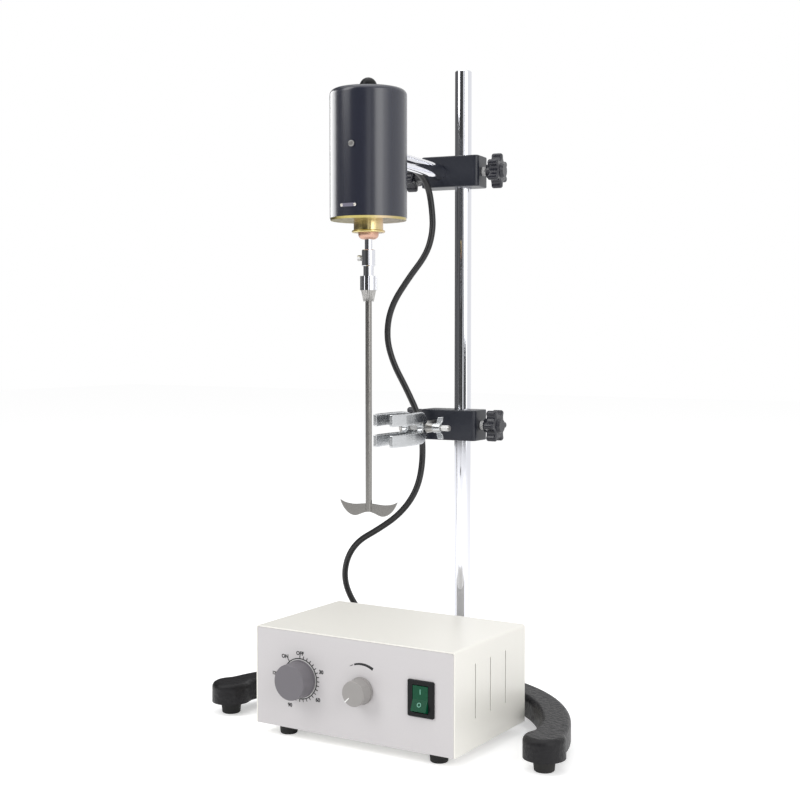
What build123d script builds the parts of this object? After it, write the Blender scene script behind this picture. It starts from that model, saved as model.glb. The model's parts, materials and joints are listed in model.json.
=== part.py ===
from build123d import *
from math import asin, atan2, cos, degrees, hypot, pi, radians, sin, sqrt, tan
import os

os.makedirs("parts", exist_ok=True)

# Overhead laboratory stirrer on a horseshoe stand, with its control box between the stand's arms.
# Millimetres, +Z up, the operator stands at -Y, and the origin is on the floor under the column.

# --- Fits -------------------------------------------------------------------------------------
turned_fit = 0.05  # radial clearance of turned pieces that stay put in each other
running_fit = 0.05  # radial clearance of a shaft in its bearing or bore
sliding_fit = 0.08  # radial clearance of a block on its rod
free_gap = 0.3  # clearance between pieces that pass without touching

# --- Stand ------------------------------------------------------------------------------------
foot_height = 11.0
foot_top_d = 19.5
foot_bottom_d = 17.0
foot_nub_d = 8.0
foot_nub_length = 6.0
ring_mean_radius = 164.5
ring_band = 27.0
ring_setback = 173.4  # the ring's centre lies this far in front of the column
ring_thickness = 19.0
ring_edge_radius = 5.0
joint_radius = 14.0  # where the lobes and the boss run into the ring
lobe_d = 36.0
lobe_angle = 6.2  # each arm ends this far behind the ring's cross diameter
boss_d = 44.0
boss_rise = 15.0
column_d = 16.0
column_length = 565.0
column_spigot_d = 12.0
column_spigot_length = 22.0
set_screw_d = 6.0
set_screw_length = 9.0

# --- Clamp heads ------------------------------------------------------------------------------
block_depth = 28.0
block_height = 29.5
block_right = 20.0  # from the column's axis to the block's right end
block_left = 38.5
block_edge_radius = 4.0
upper_cross_offset = 19.5  # from the column's axis to the arm's axis
lower_cross_offset = 22.0  # and to the clamp handle's axis
stud_d = 8.0
stud_show = 5.0  # bare stud between block and knob
star_d = 33.0
star_lobes = 6
star_valley_radius = 5.0
star_tip_radius = 2.8
star_thickness = 10.5
star_rim_radius = 2.0
star_neck_length = 4.5
star_neck_d = 15.0
star_crown_length = 2.5
stud_grip = 8.0  # length of stud held in the knob

upper_head_z = 513.5
lower_head_z = 270.0
lower_head_turn = 2.0

# --- Motor ------------------------------------------------------------------------------------
motor_reach = 174.0  # from the upper block's middle plane to the spindle's axis
spindle_x = 4.7  # the spindle hangs this far right of the stand's middle plane
arm_d = 14.5
arm_behind = 20.0  # arm that stands out behind the block
arm_spigot_d = 9.0
arm_nut_flats = 14.0
arm_nut_length = 6.5
can_d = 66.0
can_wall = 1.5
can_bottom_z = 456.6
can_top_z = 565.2
can_edge_radius = 5.0
pad_d = 18.0
pad_out = 2.0
pad_in = 1.8
plug_d = 15.0
plug_rise = 10.5
can_screw_d = 3.0
can_screw_head_d = 5.2
can_screw_z = 516.0
can_slot_length = 16.0
can_slot_x = -3.6
can_slot_height = 3.0
can_slot_z = 465.6
plate_thickness = 2.0
plate_d = 65.6
plate_step = 5.0
plate_taper = 12.0
bearing_boss_d = 25.2
bearing_boss_length = 10.2
bearing_lip_d = 28.5
bearing_lip_thickness = 2.0
nose_d = 17.5
nose_length = 5.6
bearing_d = 19.0
bearing_length = 6.0
shaft_d = 6.4
shaft_bottom_z = 419.5
shaft_top_z = 554.0
armature_d = 34.0
armature_bottom_z = 471.0
armature_length = 30.0
armature_slots = 12
air_gap = 0.8
stator_poles = 4
commutator_d = 21.0
commutator_bottom_z = 519.0
commutator_length = 12.0
brush_width = 7.0
brush_height = 8.0
bridge_width = 11.0
upper_bearing_z = 545.0
cord_d = 6.0
cord_side = 16.0  # the cord leaves the can this far to the left of the arm
cord_rise = 2.0  # and this far above it
boot_d = 10.5
boot_tip_d = 8.5
boot_spigot_d = 8.4
boot_length = 14.0

# --- Spindle ----------------------------------------------------------------------------------
sleeve_d = 11.4
sleeve_top_z = 430.0
sleeve_length = 14.0
thumb_screw_d = 3.0
thumb_screw_head_d = 5.0
thumb_screw_head_length = 3.0
chuck_neck_d = 8.8
chuck_body_d = 14.4
chuck_body_bottom_z = 395.5
chuck_body_length = 12.0
chuck_flutes = 12
chuck_nut_length = 10.0
chuck_nut_top_d = 12.8
chuck_nut_bottom_d = 9.6
chuck_nut_grooves = 20
rod_d = 5.5
rod_bottom_z = 205.0
rod_grip = 11.0  # rod held inside the chuck
paddle_half_span = 27.0
paddle_neck_height = 7.0  # all three from the notch between the lobes
paddle_tip_height = 9.2
paddle_lobe_depth = 3.8
paddle_thickness = 1.5

# --- Flask clamp ------------------------------------------------------------------------------
handle_d = 10.0
handle_behind = 12.0
jaw_height = 30.0
jaw_front = 116.0  # from the column's axis forward to the fingertips
jaw_half_width = 14.0  # from the middle plane to the widest place of one jaw
jaw_wall = 6.0
jaw_rear = 49.0
finger_gap = 8.0
finger_gap_rear = 61.0
jaw_pin_setback = 44.0
jaw_pin_d = 4.0
tongue_half_height = 3.8
tongue_half_width = 4.0
lug_thickness = 3.0
lug_radius = 4.6
jaw_screw_setback = 54.5
jaw_screw_d = 5.0
wing_span = 20.0

# --- Control box ------------------------------------------------------------------------------
box_width = 204.0
box_depth = 128.0
box_height = 88.0
ring_clearance = 5.742  # between the ring's inner edge and the box's rear corners, front to back
box_foot_height = 10.0
box_foot_d = 17.0
box_foot_inset_x = 24.0
box_foot_inset_y = 16.0
sheet = 1.2
panel_thickness = 1.5
bend_radius = 2.5
inner_corner_radius = 1.6  # of the plates that stand inside the cover's bends
seam = 0.2  # gap at each side between cover and chassis
flange_height = 14.0
vent_length = 47.0
vent_width = 1.6
vent_setbacks = (35.0, 62.0, 90.0)
vent_z = 58.5

timer_inset = 48.0  # from the box's left side
dial_z = 55.5
timer_knob_d = 33.2
timer_knob_length = 16.5
speed_x = 10.5
speed_z = 54.0
speed_knob_d = 23.5
speed_knob_length = 13.5
knob_stand_off = 0.6
knob_taper = 2.0
spindle_d = 6.0
spindle_grip = 10.0
bush_d = 9.0
timer_body_size = 40.0
timer_body_length = 28.0
pot_body_d = 26.0
pot_body_length = 14.0
switch_inset = 32.0  # from the box's right side
switch_z = 55.5
bezel_width = 25.5
bezel_height = 31.0
bezel_thickness = 2.0
switch_body_width = 22.0
switch_body_height = 27.0
switch_body_length = 24.0
rocker_width = 14.5
rocker_height = 22.5
rocker_gap = 0.5
rocker_angle = 22.0
rocker_back = 4.0
rocker_pocket = 9.0
pivot_d = 3.0
pivot_end = 2.0  # how far the pivot reaches into each side of the frame

core_inset = 62.0  # transformer, from the box's right side
core_width = 56.0
core_stack = 24.0
core_height = 48.0
core_limb = 9.0
coil_depth = 46.0
board_inset = 62.0  # from the box's left side
board_width = 80.0
board_depth = 60.0
board_thickness = 1.6
board_stand = 6.0
board_margin = 5.0
tallest_component = 14.0
gland_inset = 28.0  # from the box's left side
gland_z = 46.0
gland_length = 15.0
gland_hex = 18.0
gland_thread_d = 12.0
inlet_inset = 47.0  # from the box's right side
inlet_z = 52.0
inlet_width = 27.0
inlet_height = 20.0
inlet_depth = 18.0
inlet_flange = 2.5
tab_width = 12.0  # ears that the cover's screws hold
tab_height = 14.0
tab_inset = 18.0  # from the box's top and bottom
cover_screw_d = 3.0
cover_screw_head_d = 5.6
cover_screw_length = 5.0

# --- Places that follow from the sizes --------------------------------------------------------
ring_bottom = foot_height
ring_top = ring_bottom + ring_thickness
column_seat = ring_top + boss_rise
column_top = column_seat + column_length
lobe_x = ring_mean_radius * cos(radians(lobe_angle))
lobe_y = ring_mean_radius * sin(radians(lobe_angle)) - ring_setback
foot_places = [(-lobe_x, lobe_y), (lobe_x, lobe_y), (0, 0)]

spindle_distance = hypot(upper_cross_offset, motor_reach)
upper_turn = degrees(atan2(upper_cross_offset, motor_reach) + asin(spindle_x / spindle_distance))
motor_y = -sqrt(spindle_distance**2 - spindle_x**2)

box_bottom = box_foot_height
box_top = box_bottom + box_height
ring_inner_radius = ring_mean_radius - ring_band / 2
box_back = sqrt(ring_inner_radius**2 - (box_width / 2) ** 2) - ring_setback - ring_clearance
box_front = box_back - box_depth
chassis_width = box_width - 2 * (sheet + seam)
chassis_top = box_top - sheet - seam
panel_back = box_front + panel_thickness
timer_x = -box_width / 2 + timer_inset
switch_x = box_width / 2 - switch_inset
gland_x = -box_width / 2 + gland_inset
inlet_x = box_width / 2 - inlet_inset
transformer_x = box_width / 2 - core_inset
board_x = -box_width / 2 + board_inset


def turned_frame(x, y, z, turn):
    """Return the plane at a point whose x direction is turned about the vertical."""
    return Plane(origin=(x, y, z), x_dir=(cos(radians(turn)), sin(radians(turn)), 0), z_dir=(0, 0, 1))


def in_frame(frame, plane):
    """Return the plane of the model that has this place in a head's own frame."""
    return Plane(frame.location * plane.location)


def facing_front(y):
    """Return the plane that faces the operator at this depth, with x right and y up."""
    return Plane.XZ.offset(-y)


def write(piece, name):
    """Label a finished piece and write its STEP file."""
    piece.part.label = name
    export_step(piece.part, f"parts/{name}.step")


upper_frame = turned_frame(0, 0, upper_head_z, upper_turn)
lower_frame = turned_frame(0, 0, lower_head_z, lower_head_turn)
motor_frame = turned_frame(spindle_x, motor_y, 0, upper_turn)

# ==============================================================================================
# Stand
# ==============================================================================================
with BuildPart() as base_casting:
    with BuildSketch(Plane.XY.offset(ring_bottom)) as base_outline:
        with BuildLine():
            ring_line = CenterArc((0, -ring_setback), ring_mean_radius, lobe_angle, 180 - 2 * lobe_angle)
        SlotArc(ring_line, ring_band)
        with Locations(*foot_places[:2]):
            Circle(lobe_d / 2)
        Circle(boss_d / 2)
        fillet(base_outline.vertices(), joint_radius)
    extrude(amount=ring_thickness)
    fillet(base_casting.edges().group_by(Axis.Z)[-1], ring_edge_radius)
    with BuildSketch(Plane.XZ):
        with BuildLine():
            Polyline(
                (0, ring_top - ring_edge_radius),
                (boss_d / 2 - 2, ring_top - ring_edge_radius),
                (boss_d / 2 - 3.5, column_seat - 2),
                (boss_d / 2 - 5.5, column_seat),
                (0, column_seat),
                close=True,
            )
        make_face()
    revolve(axis=Axis.Z)
    with BuildSketch(Plane.XY.offset(column_seat)):
        Circle(column_spigot_d / 2 + turned_fit)
    extrude(amount=-column_spigot_length - free_gap, mode=Mode.SUBTRACT)
    with BuildSketch(Plane.XY.offset(ring_bottom)):
        with Locations(*foot_places):
            Circle(foot_nub_d / 2 + turned_fit)
    extrude(amount=foot_nub_length, mode=Mode.SUBTRACT)
    with BuildSketch(Plane.XZ.offset(-boss_d)):
        with Locations((0, (ring_top + column_seat) / 2)):
            Circle(set_screw_d / 2 + turned_fit)
    extrude(amount=boss_d - column_spigot_d / 2, mode=Mode.SUBTRACT)
write(base_casting, "base_casting")

foot_taper = degrees(atan2((foot_top_d - foot_bottom_d) / 2, foot_height))
with BuildPart() as base_feet:
    with BuildSketch(Plane.XY.offset(foot_height)):
        with Locations(*foot_places):
            Circle(foot_top_d / 2)
    extrude(amount=-foot_height, taper=foot_taper)
    chamfer(base_feet.edges().group_by(Axis.Z)[0], 0.8)
    with BuildSketch(Plane.XY.offset(foot_height)):
        with Locations(*foot_places):
            Circle(foot_nub_d / 2)
    extrude(amount=foot_nub_length)
write(base_feet, "base_feet")

with BuildPart() as column:
    with BuildSketch(Plane.XY.offset(column_seat)):
        Circle(column_d / 2)
    extrude(amount=column_length)
    chamfer(column.edges().group_by(Axis.Z)[-1], 0.8)
    with BuildSketch(Plane.XY.offset(column_seat)):
        Circle(column_spigot_d / 2)
    extrude(amount=-column_spigot_length)
write(column, "column")

with BuildPart() as column_set_screw:
    with BuildSketch(Plane.XZ.offset(-column_spigot_d / 2 - turned_fit)):
        with Locations((0, (ring_top + column_seat) / 2)):
            Circle(set_screw_d / 2)
    extrude(amount=-set_screw_length)
    with BuildSketch(column_set_screw.faces().sort_by(Axis.Y)[-1]):
        RegularPolygon(set_screw_d / 4, 6)
    extrude(amount=-set_screw_length / 3, mode=Mode.SUBTRACT)
write(column_set_screw, "column_set_screw")

# ==============================================================================================
# Clamp heads: the same block, studs and star knobs twice
# ==============================================================================================


def clamp_block(frame, cross_offset, cross_bore_d):
    """Make a block that grips the column and a rod across it, with a tapped hole from each end."""
    with BuildPart() as block:
        with BuildSketch(frame.offset(-block_height / 2)):
            with Locations(((block_right - block_left) / 2, 0)):
                RectangleRounded(block_right + block_left, block_depth, block_edge_radius)
        extrude(amount=block_height)
        ends = block.edges().group_by(Axis.Z)
        fillet(ends[0] + ends[-1], block_edge_radius / 4)
        with BuildSketch(frame.offset(-block_height / 2)):
            Circle(column_d / 2 + sliding_fit)
        extrude(amount=block_height, mode=Mode.SUBTRACT)
        with BuildSketch(in_frame(frame, facing_front(-block_depth / 2))):
            with Locations((-cross_offset, 0)):
                Circle(cross_bore_d / 2 + sliding_fit)
        extrude(amount=-block_depth, mode=Mode.SUBTRACT)
        with BuildSketch(in_frame(frame, Plane.YZ.offset(block_right))):
            Circle(stud_d / 2 + running_fit)
        extrude(amount=-block_right + column_d / 4, mode=Mode.SUBTRACT)
        with BuildSketch(in_frame(frame, Plane.YZ.offset(-block_left))):
            Circle(stud_d / 2 + running_fit)
        extrude(amount=block_left - cross_offset - cross_bore_d / 4, mode=Mode.SUBTRACT)
    return block


def knob_plane(frame, side, distance):
    """Return the plane across a clamping screw, this far out from the head's axis, facing out."""
    if side == "right":
        return in_frame(frame, Plane.YZ.offset(distance))
    return in_frame(frame, Plane.YZ.rotated((0, 180, 0)).offset(distance))


def star_knob(frame, side, block_end, turn):
    """Make a six-lobed star knob with a round neck towards the block and a low crown."""
    neck_start = block_end + stud_show
    star_start = neck_start + star_neck_length
    star_end = star_start + star_thickness
    with BuildPart() as knob:
        with BuildSketch(knob_plane(frame, side, star_start)) as star:
            with Locations(Location((0, 0), turn + 180 / star_lobes)):
                Circle(star_d / 2)
                with PolarLocations(star_d / 2 - 0.5, star_lobes):
                    Circle(star_valley_radius, mode=Mode.SUBTRACT)
            fillet(star.vertices(), star_tip_radius)
        extrude(amount=star_thickness)
        rims = knob.faces().filter_by(GeomType.PLANE).edges()
        fillet(rims, star_rim_radius)
        with BuildSketch(knob_plane(frame, side, star_start)):
            Circle(star_neck_d / 2)
        extrude(amount=-star_neck_length, taper=12)
        with BuildSketch(knob_plane(frame, side, star_end)):
            Circle(star_neck_d / 2)
        extrude(amount=star_crown_length, taper=30)
        with BuildSketch(knob_plane(frame, side, neck_start)):
            Circle(stud_d / 2 + turned_fit)
        extrude(amount=stud_grip, mode=Mode.SUBTRACT)
    return knob


def knob_stud(frame, side, tip, block_end):
    """Make the stud that is moulded into a star knob and presses on the rod with its tip."""
    with BuildPart() as stud:
        with BuildSketch(knob_plane(frame, side, tip)):
            Circle(stud_d / 2)
        extrude(amount=block_end + stud_show + stud_grip - tip)
        tips = stud.faces().filter_by(GeomType.PLANE)
        chamfer(tips.edges(), 0.8)
    return stud


column_tip = column_d / 2 + free_gap
upper_cross_tip = upper_cross_offset + arm_d / 2 + free_gap
lower_cross_tip = lower_cross_offset + handle_d / 2 + free_gap

upper_clamp_block = clamp_block(upper_frame, upper_cross_offset, arm_d)
write(upper_clamp_block, "upper_clamp_block")
upper_column_knob = star_knob(upper_frame, "right", block_right, 90)
write(upper_column_knob, "upper_column_knob")
upper_column_screw = knob_stud(upper_frame, "right", column_tip, block_right)
write(upper_column_screw, "upper_column_screw")
upper_arm_knob = star_knob(upper_frame, "left", block_left, 90)
write(upper_arm_knob, "upper_arm_knob")
upper_arm_screw = knob_stud(upper_frame, "left", upper_cross_tip, block_left)
write(upper_arm_screw, "upper_arm_screw")

lower_clamp_block = clamp_block(lower_frame, lower_cross_offset, handle_d)
write(lower_clamp_block, "lower_clamp_block")
lower_column_knob = star_knob(lower_frame, "right", block_right, 60)
write(lower_column_knob, "lower_column_knob")
lower_column_screw = knob_stud(lower_frame, "right", column_tip, block_right)
write(lower_column_screw, "lower_column_screw")
lower_handle_knob = star_knob(lower_frame, "left", block_left, 70)
write(lower_handle_knob, "lower_handle_knob")
lower_handle_screw = knob_stud(lower_frame, "left", lower_cross_tip, block_left)
write(lower_handle_screw, "lower_handle_screw")

# ==============================================================================================
# Motor: can, arm and what they carry. In the motor's frame the arm leaves towards +y.
# ==============================================================================================
can_radius = can_d / 2
cord_exit_z = upper_head_z + cord_rise
can_inner = can_radius - can_wall
pad_face = can_radius + pad_out
pad_inner_face = can_inner - pad_in
plate_top = can_bottom_z
plate_bottom = plate_top - plate_thickness
boss_bottom = plate_bottom - bearing_boss_length
nose_bottom = boss_bottom - nose_length

with BuildPart() as motor_housing:
    with BuildSketch(motor_frame.offset(can_bottom_z)):
        Circle(can_radius)
    extrude(amount=can_top_z - can_bottom_z)
    fillet(motor_housing.edges().group_by(Axis.Z)[-1], can_edge_radius)
    offset(amount=-can_wall, openings=motor_housing.faces().sort_by(Axis.Z)[0])
    with BuildSketch(in_frame(motor_frame, facing_front(pad_face))):
        with Locations((0, upper_head_z)):
            Circle(pad_d / 2)
    extrude(amount=pad_face - pad_inner_face)
    with BuildSketch(in_frame(motor_frame, facing_front(pad_face))):
        with Locations((0, upper_head_z)):
            Circle(arm_spigot_d / 2 + turned_fit)
    extrude(amount=pad_face - pad_inner_face, mode=Mode.SUBTRACT)
    with BuildSketch(in_frame(motor_frame, facing_front(can_radius))):
        with Locations((-cord_side, cord_exit_z)):
            Circle(boot_spigot_d / 2 + turned_fit)
    extrude(amount=can_radius / 2, mode=Mode.SUBTRACT)
    with BuildSketch(in_frame(motor_frame, facing_front(-can_radius))):
        with Locations((can_slot_x, can_slot_z)):
            SlotOverall(can_slot_length, can_slot_height)
        with Locations((0, can_screw_z)):
            Circle(can_screw_d / 2 + turned_fit)
    extrude(amount=-can_radius / 2, mode=Mode.SUBTRACT)
    with BuildSketch(motor_frame.offset(can_top_z)):
        Circle(plug_d / 4 + turned_fit)
    extrude(amount=-can_wall, mode=Mode.SUBTRACT)
write(motor_housing, "motor_housing")

plug_sphere = ((plug_d / 2) ** 2 + (plug_rise * 0.76) ** 2) / (2 * plug_rise * 0.76)
with BuildPart() as housing_plug:
    with BuildSketch(in_frame(motor_frame, Plane.XZ)):
        with Locations((0, can_top_z + plug_rise - plug_sphere)):
            Circle(plug_sphere)
        with Locations((plug_d / 4, can_top_z + plug_rise / 2)):
            Rectangle(plug_d / 2, plug_rise, mode=Mode.INTERSECT)
        with Locations((plug_d / 8, can_top_z - can_wall / 2)):
            Rectangle(plug_d / 4, can_wall)
    revolve(axis=Axis((spindle_x, motor_y, 0), (0, 0, 1)))
write(housing_plug, "housing_plug")

can_screw_seat = can_radius + 0.05
with BuildPart() as housing_screw:
    with BuildSketch(in_frame(motor_frame, facing_front(-can_screw_seat))):
        with Locations((0, can_screw_z)):
            Circle(can_screw_head_d / 2)
    extrude(amount=1.6)
    fillet(housing_screw.edges().sort_by(Axis.Y)[0], 0.7)
    with BuildSketch(in_frame(motor_frame, facing_front(-can_screw_seat))):
        with Locations((0, can_screw_z)):
            Circle(can_screw_d / 2)
    extrude(amount=-5)
write(housing_screw, "housing_screw")

with BuildPart() as end_plate:
    with BuildSketch(motor_frame.offset(plate_top)):
        Circle(plate_d / 2)
    extrude(amount=-plate_thickness, taper=plate_taper)
    with BuildSketch(motor_frame.offset(plate_top)):
        Circle(can_inner - turned_fit)
    extrude(amount=plate_step)
    with BuildSketch(motor_frame.offset(plate_top + plate_step)):
        Circle(bearing_d / 2 + turned_fit)
    extrude(amount=-bearing_length, mode=Mode.SUBTRACT)
    with BuildSketch(motor_frame.offset(plate_top + plate_step)):
        Circle(shaft_d / 2 + free_gap)
    extrude(amount=-plate_step - plate_thickness, mode=Mode.SUBTRACT)
write(end_plate, "end_plate")

with BuildPart() as bearing_boss:
    with BuildSketch(motor_frame.offset(plate_bottom)):
        Circle(bearing_boss_d / 2)
    extrude(amount=-bearing_boss_length)
    with BuildSketch(motor_frame.offset(boss_bottom)):
        Circle(bearing_lip_d / 2)
    extrude(amount=bearing_lip_thickness)
    lip_edges = bearing_boss.edges().filter_by(GeomType.CIRCLE).group_by(SortBy.RADIUS)[-1]
    fillet(lip_edges, bearing_lip_thickness * 0.45)
    with BuildSketch(motor_frame.offset(plate_bottom)):
        Circle(shaft_d / 2 + free_gap)
    extrude(amount=-bearing_boss_length, mode=Mode.SUBTRACT)
write(bearing_boss, "bearing_boss")

with BuildPart() as nose_bush:
    with BuildSketch(motor_frame.offset(boss_bottom)):
        Circle(nose_d / 2)
    extrude(amount=-nose_length)
    fillet(nose_bush.edges().group_by(Axis.Z)[0], nose_length * 0.75)
    with BuildSketch(motor_frame.offset(boss_bottom)):
        Circle(shaft_d / 2 + running_fit)
    extrude(amount=-nose_length, mode=Mode.SUBTRACT)
write(nose_bush, "nose_bush")

lower_bearing_bottom = plate_top + plate_step - bearing_length
with BuildPart() as motor_bearings:
    for bearing_z in (lower_bearing_bottom, upper_bearing_z):
        with BuildSketch(motor_frame.offset(bearing_z)):
            Circle(bearing_d / 2)
            Circle(shaft_d / 2 + running_fit, mode=Mode.SUBTRACT)
        extrude(amount=bearing_length)
write(motor_bearings, "motor_bearings")

stator_inner = armature_d / 2 + air_gap
with BuildPart() as stator:
    with BuildSketch(motor_frame.offset(armature_bottom_z)):
        Circle(can_inner - turned_fit)
        Circle(can_inner - 6, mode=Mode.SUBTRACT)
        with PolarLocations((can_inner + stator_inner) / 2 - 2, stator_poles, start_angle=45):
            Rectangle(can_inner - stator_inner, 15)
        Circle(stator_inner, mode=Mode.SUBTRACT)
    extrude(amount=armature_length)
write(stator, "stator")

brush_z = commutator_bottom_z + commutator_length / 2
with BuildPart() as brush_bridge:
    with BuildSketch(motor_frame.offset(upper_bearing_z)):
        Circle(can_inner - turned_fit)
        Circle(can_inner - 3, mode=Mode.SUBTRACT)
        Rectangle(2 * can_inner - 2, bridge_width)
        Circle(bearing_d / 2 + 3)
        Circle(bearing_d / 2 + turned_fit, mode=Mode.SUBTRACT)
    extrude(amount=bearing_length)
    for side in (-1, 1):
        with BuildSketch(motor_frame.offset(upper_bearing_z)):
            with Locations((side * (can_inner - 8), 0)):
                Rectangle(5, bridge_width)
        extrude(amount=brush_z - brush_height / 2 - upper_bearing_z)
        with BuildSketch(in_frame(motor_frame, Plane.YZ.offset(side * (commutator_d / 2 + free_gap)))):
            with Locations((0, brush_z)):
                Rectangle(brush_width, brush_height)
        extrude(amount=side * (can_inner - commutator_d / 2 - 8))
write(brush_bridge, "brush_bridge")

with BuildPart() as motor_arm:
    with BuildSketch(in_frame(motor_frame, facing_front(pad_face))):
        with Locations((0, upper_head_z)):
            Circle(arm_d / 2)
    extrude(amount=-(motor_reach + block_depth / 2 + arm_behind - pad_face))
    chamfer(motor_arm.edges().sort_by(Axis.Y)[-1], 1)
    with BuildSketch(in_frame(motor_frame, facing_front(pad_face))):
        with Locations((0, upper_head_z)):
            Circle(arm_spigot_d / 2)
    extrude(amount=pad_face - pad_inner_face + arm_nut_length + 1)
write(motor_arm, "motor_arm")

with BuildPart() as arm_nut:
    with BuildSketch(in_frame(motor_frame, facing_front(pad_inner_face))):
        with Locations((0, upper_head_z)):
            RegularPolygon(arm_nut_flats / 2, 6, major_radius=False)
            Circle(arm_spigot_d / 2 + turned_fit, mode=Mode.SUBTRACT)
    extrude(amount=arm_nut_length)
write(arm_nut, "arm_nut")

boot_wall_y = sqrt(can_radius**2 - cord_side**2)
with BuildPart() as cord_boot:
    with BuildSketch(in_frame(motor_frame, facing_front(boot_wall_y + boot_length))):
        with Locations((-cord_side, cord_exit_z)):
            Circle(boot_tip_d / 2)
    extrude(amount=boot_length + can_wall * 2, taper=-3)
    with BuildSketch(motor_frame.offset(can_bottom_z)):
        Circle(can_radius)
    extrude(amount=can_top_z - can_bottom_z, mode=Mode.SUBTRACT)
    with BuildSketch(in_frame(motor_frame, facing_front(boot_wall_y + boot_length / 2))):
        with Locations((-cord_side, cord_exit_z)):
            Circle(boot_spigot_d / 2)
    extrude(amount=boot_length / 2 + can_wall * 3)
    with BuildSketch(in_frame(motor_frame, facing_front(boot_wall_y + boot_length))):
        with Locations((-cord_side, cord_exit_z)):
            Circle(cord_d / 2 + free_gap)
    extrude(amount=boot_length + can_radius, mode=Mode.SUBTRACT)
write(cord_boot, "cord_boot")

# ==============================================================================================
# Spindle: everything that turns with the motor's shaft
# ==============================================================================================
sleeve_bottom = sleeve_top_z - sleeve_length
chuck_body_top = chuck_body_bottom_z + chuck_body_length
chuck_shank_top = shaft_bottom_z - free_gap
rod_top = chuck_body_bottom_z + rod_grip - 2

with BuildPart() as motor_shaft:
    with BuildSketch(motor_frame.offset(shaft_bottom_z)):
        Circle(shaft_d / 2)
    extrude(amount=shaft_top_z - shaft_bottom_z)
    chamfer(motor_shaft.edges(), 0.5)
write(motor_shaft, "motor_shaft")

with BuildPart() as armature:
    with BuildSketch(motor_frame.offset(armature_bottom_z)):
        Circle(armature_d / 2)
        with PolarLocations(armature_d / 2, armature_slots):
            Rectangle(6, 2.4, mode=Mode.SUBTRACT)
        Circle(shaft_d / 2 + turned_fit, mode=Mode.SUBTRACT)
    extrude(amount=armature_length)
write(armature, "armature")

with BuildPart() as commutator:
    with BuildSketch(motor_frame.offset(commutator_bottom_z)):
        Circle(commutator_d / 2)
        Circle(shaft_d / 2 + turned_fit, mode=Mode.SUBTRACT)
    extrude(amount=commutator_length)
    with BuildSketch(motor_frame.offset(commutator_bottom_z - 3)):
        Circle(commutator_d / 2 + 1.5)
        Circle(shaft_d / 2 + turned_fit, mode=Mode.SUBTRACT)
    extrude(amount=3)
write(commutator, "commutator")

with BuildPart() as coupling_sleeve:
    with BuildSketch(motor_frame.offset(sleeve_bottom)):
        Circle(sleeve_d / 2)
    extrude(amount=sleeve_length)
    chamfer(coupling_sleeve.edges(), 0.5)
    with BuildSketch(motor_frame.offset(sleeve_top_z)):
        Circle(shaft_d / 2 + turned_fit)
    extrude(amount=-sleeve_length, mode=Mode.SUBTRACT)
    with BuildSketch(in_frame(motor_frame, Plane.YZ.offset(-sleeve_d))):
        with Locations((0, sleeve_top_z - sleeve_length / 2)):
            Circle(thumb_screw_d / 2 + turned_fit)
    extrude(amount=sleeve_d, mode=Mode.SUBTRACT)
write(coupling_sleeve, "coupling_sleeve")

with BuildPart() as coupling_screw:
    with BuildSketch(in_frame(motor_frame, Plane.YZ.offset(-shaft_d / 2 - turned_fit))):
        with Locations((0, sleeve_top_z - sleeve_length / 2)):
            Circle(thumb_screw_d / 2)
    extrude(amount=-(sleeve_d - shaft_d) / 2 - 1)
    with BuildSketch(in_frame(motor_frame, Plane.YZ.offset(-sleeve_d / 2 - 1))):
        with Locations((0, sleeve_top_z - sleeve_length / 2)):
            Circle(thumb_screw_head_d / 2)
            Rectangle(thumb_screw_head_d, 0.9, mode=Mode.SUBTRACT)
    extrude(amount=-thumb_screw_head_length)
write(coupling_screw, "coupling_screw")

with BuildPart() as chuck_body:
    with BuildSketch(motor_frame.offset(chuck_body_bottom_z)):
        Circle(chuck_body_d / 2)
        with PolarLocations(chuck_body_d / 2 + 0.3, chuck_flutes):
            Circle(0.9, mode=Mode.SUBTRACT)
    extrude(amount=chuck_body_length)
    with BuildSketch(motor_frame.offset(chuck_body_top)):
        Circle(chuck_neck_d / 2)
    extrude(amount=sleeve_bottom - chuck_body_top)
    with BuildSketch(motor_frame.offset(sleeve_bottom)):
        Circle(shaft_d / 2)
    extrude(amount=chuck_shank_top - sleeve_bottom)
    with BuildSketch(motor_frame.offset(chuck_body_bottom_z)):
        Circle(rod_d / 2 + 1.6)
    extrude(amount=rod_grip, mode=Mode.SUBTRACT)
write(chuck_body, "chuck_body")

with BuildPart() as chuck_jaws:
    with BuildSketch(motor_frame.offset(chuck_body_bottom_z - chuck_nut_length + 1)):
        Circle(rod_d / 2 + 1.3)
        Circle(rod_d / 2 + turned_fit, mode=Mode.SUBTRACT)
        with PolarLocations(rod_d / 2 + 1, 3, start_angle=60):
            Rectangle(4, 0.8, mode=Mode.SUBTRACT)
    extrude(amount=chuck_nut_length + rod_grip - 3)
write(chuck_jaws, "chuck_jaws")

with BuildPart() as chuck_nut:
    with BuildSketch(motor_frame.offset(chuck_body_bottom_z - turned_fit)):
        Circle(chuck_nut_top_d / 2)
        with PolarLocations(chuck_nut_top_d / 2 + 0.15, chuck_nut_grooves):
            Rectangle(0.9, 0.9, rotation=45, mode=Mode.SUBTRACT)
    extrude(
        amount=-chuck_nut_length + turned_fit,
        taper=degrees(atan2((chuck_nut_top_d - chuck_nut_bottom_d) / 2, chuck_nut_length)),
    )
    with BuildSketch(motor_frame.offset(chuck_body_bottom_z)):
        Circle(rod_d / 2 + 1.6)
    extrude(amount=-chuck_nut_length, mode=Mode.SUBTRACT)
write(chuck_nut, "chuck_nut")

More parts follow.
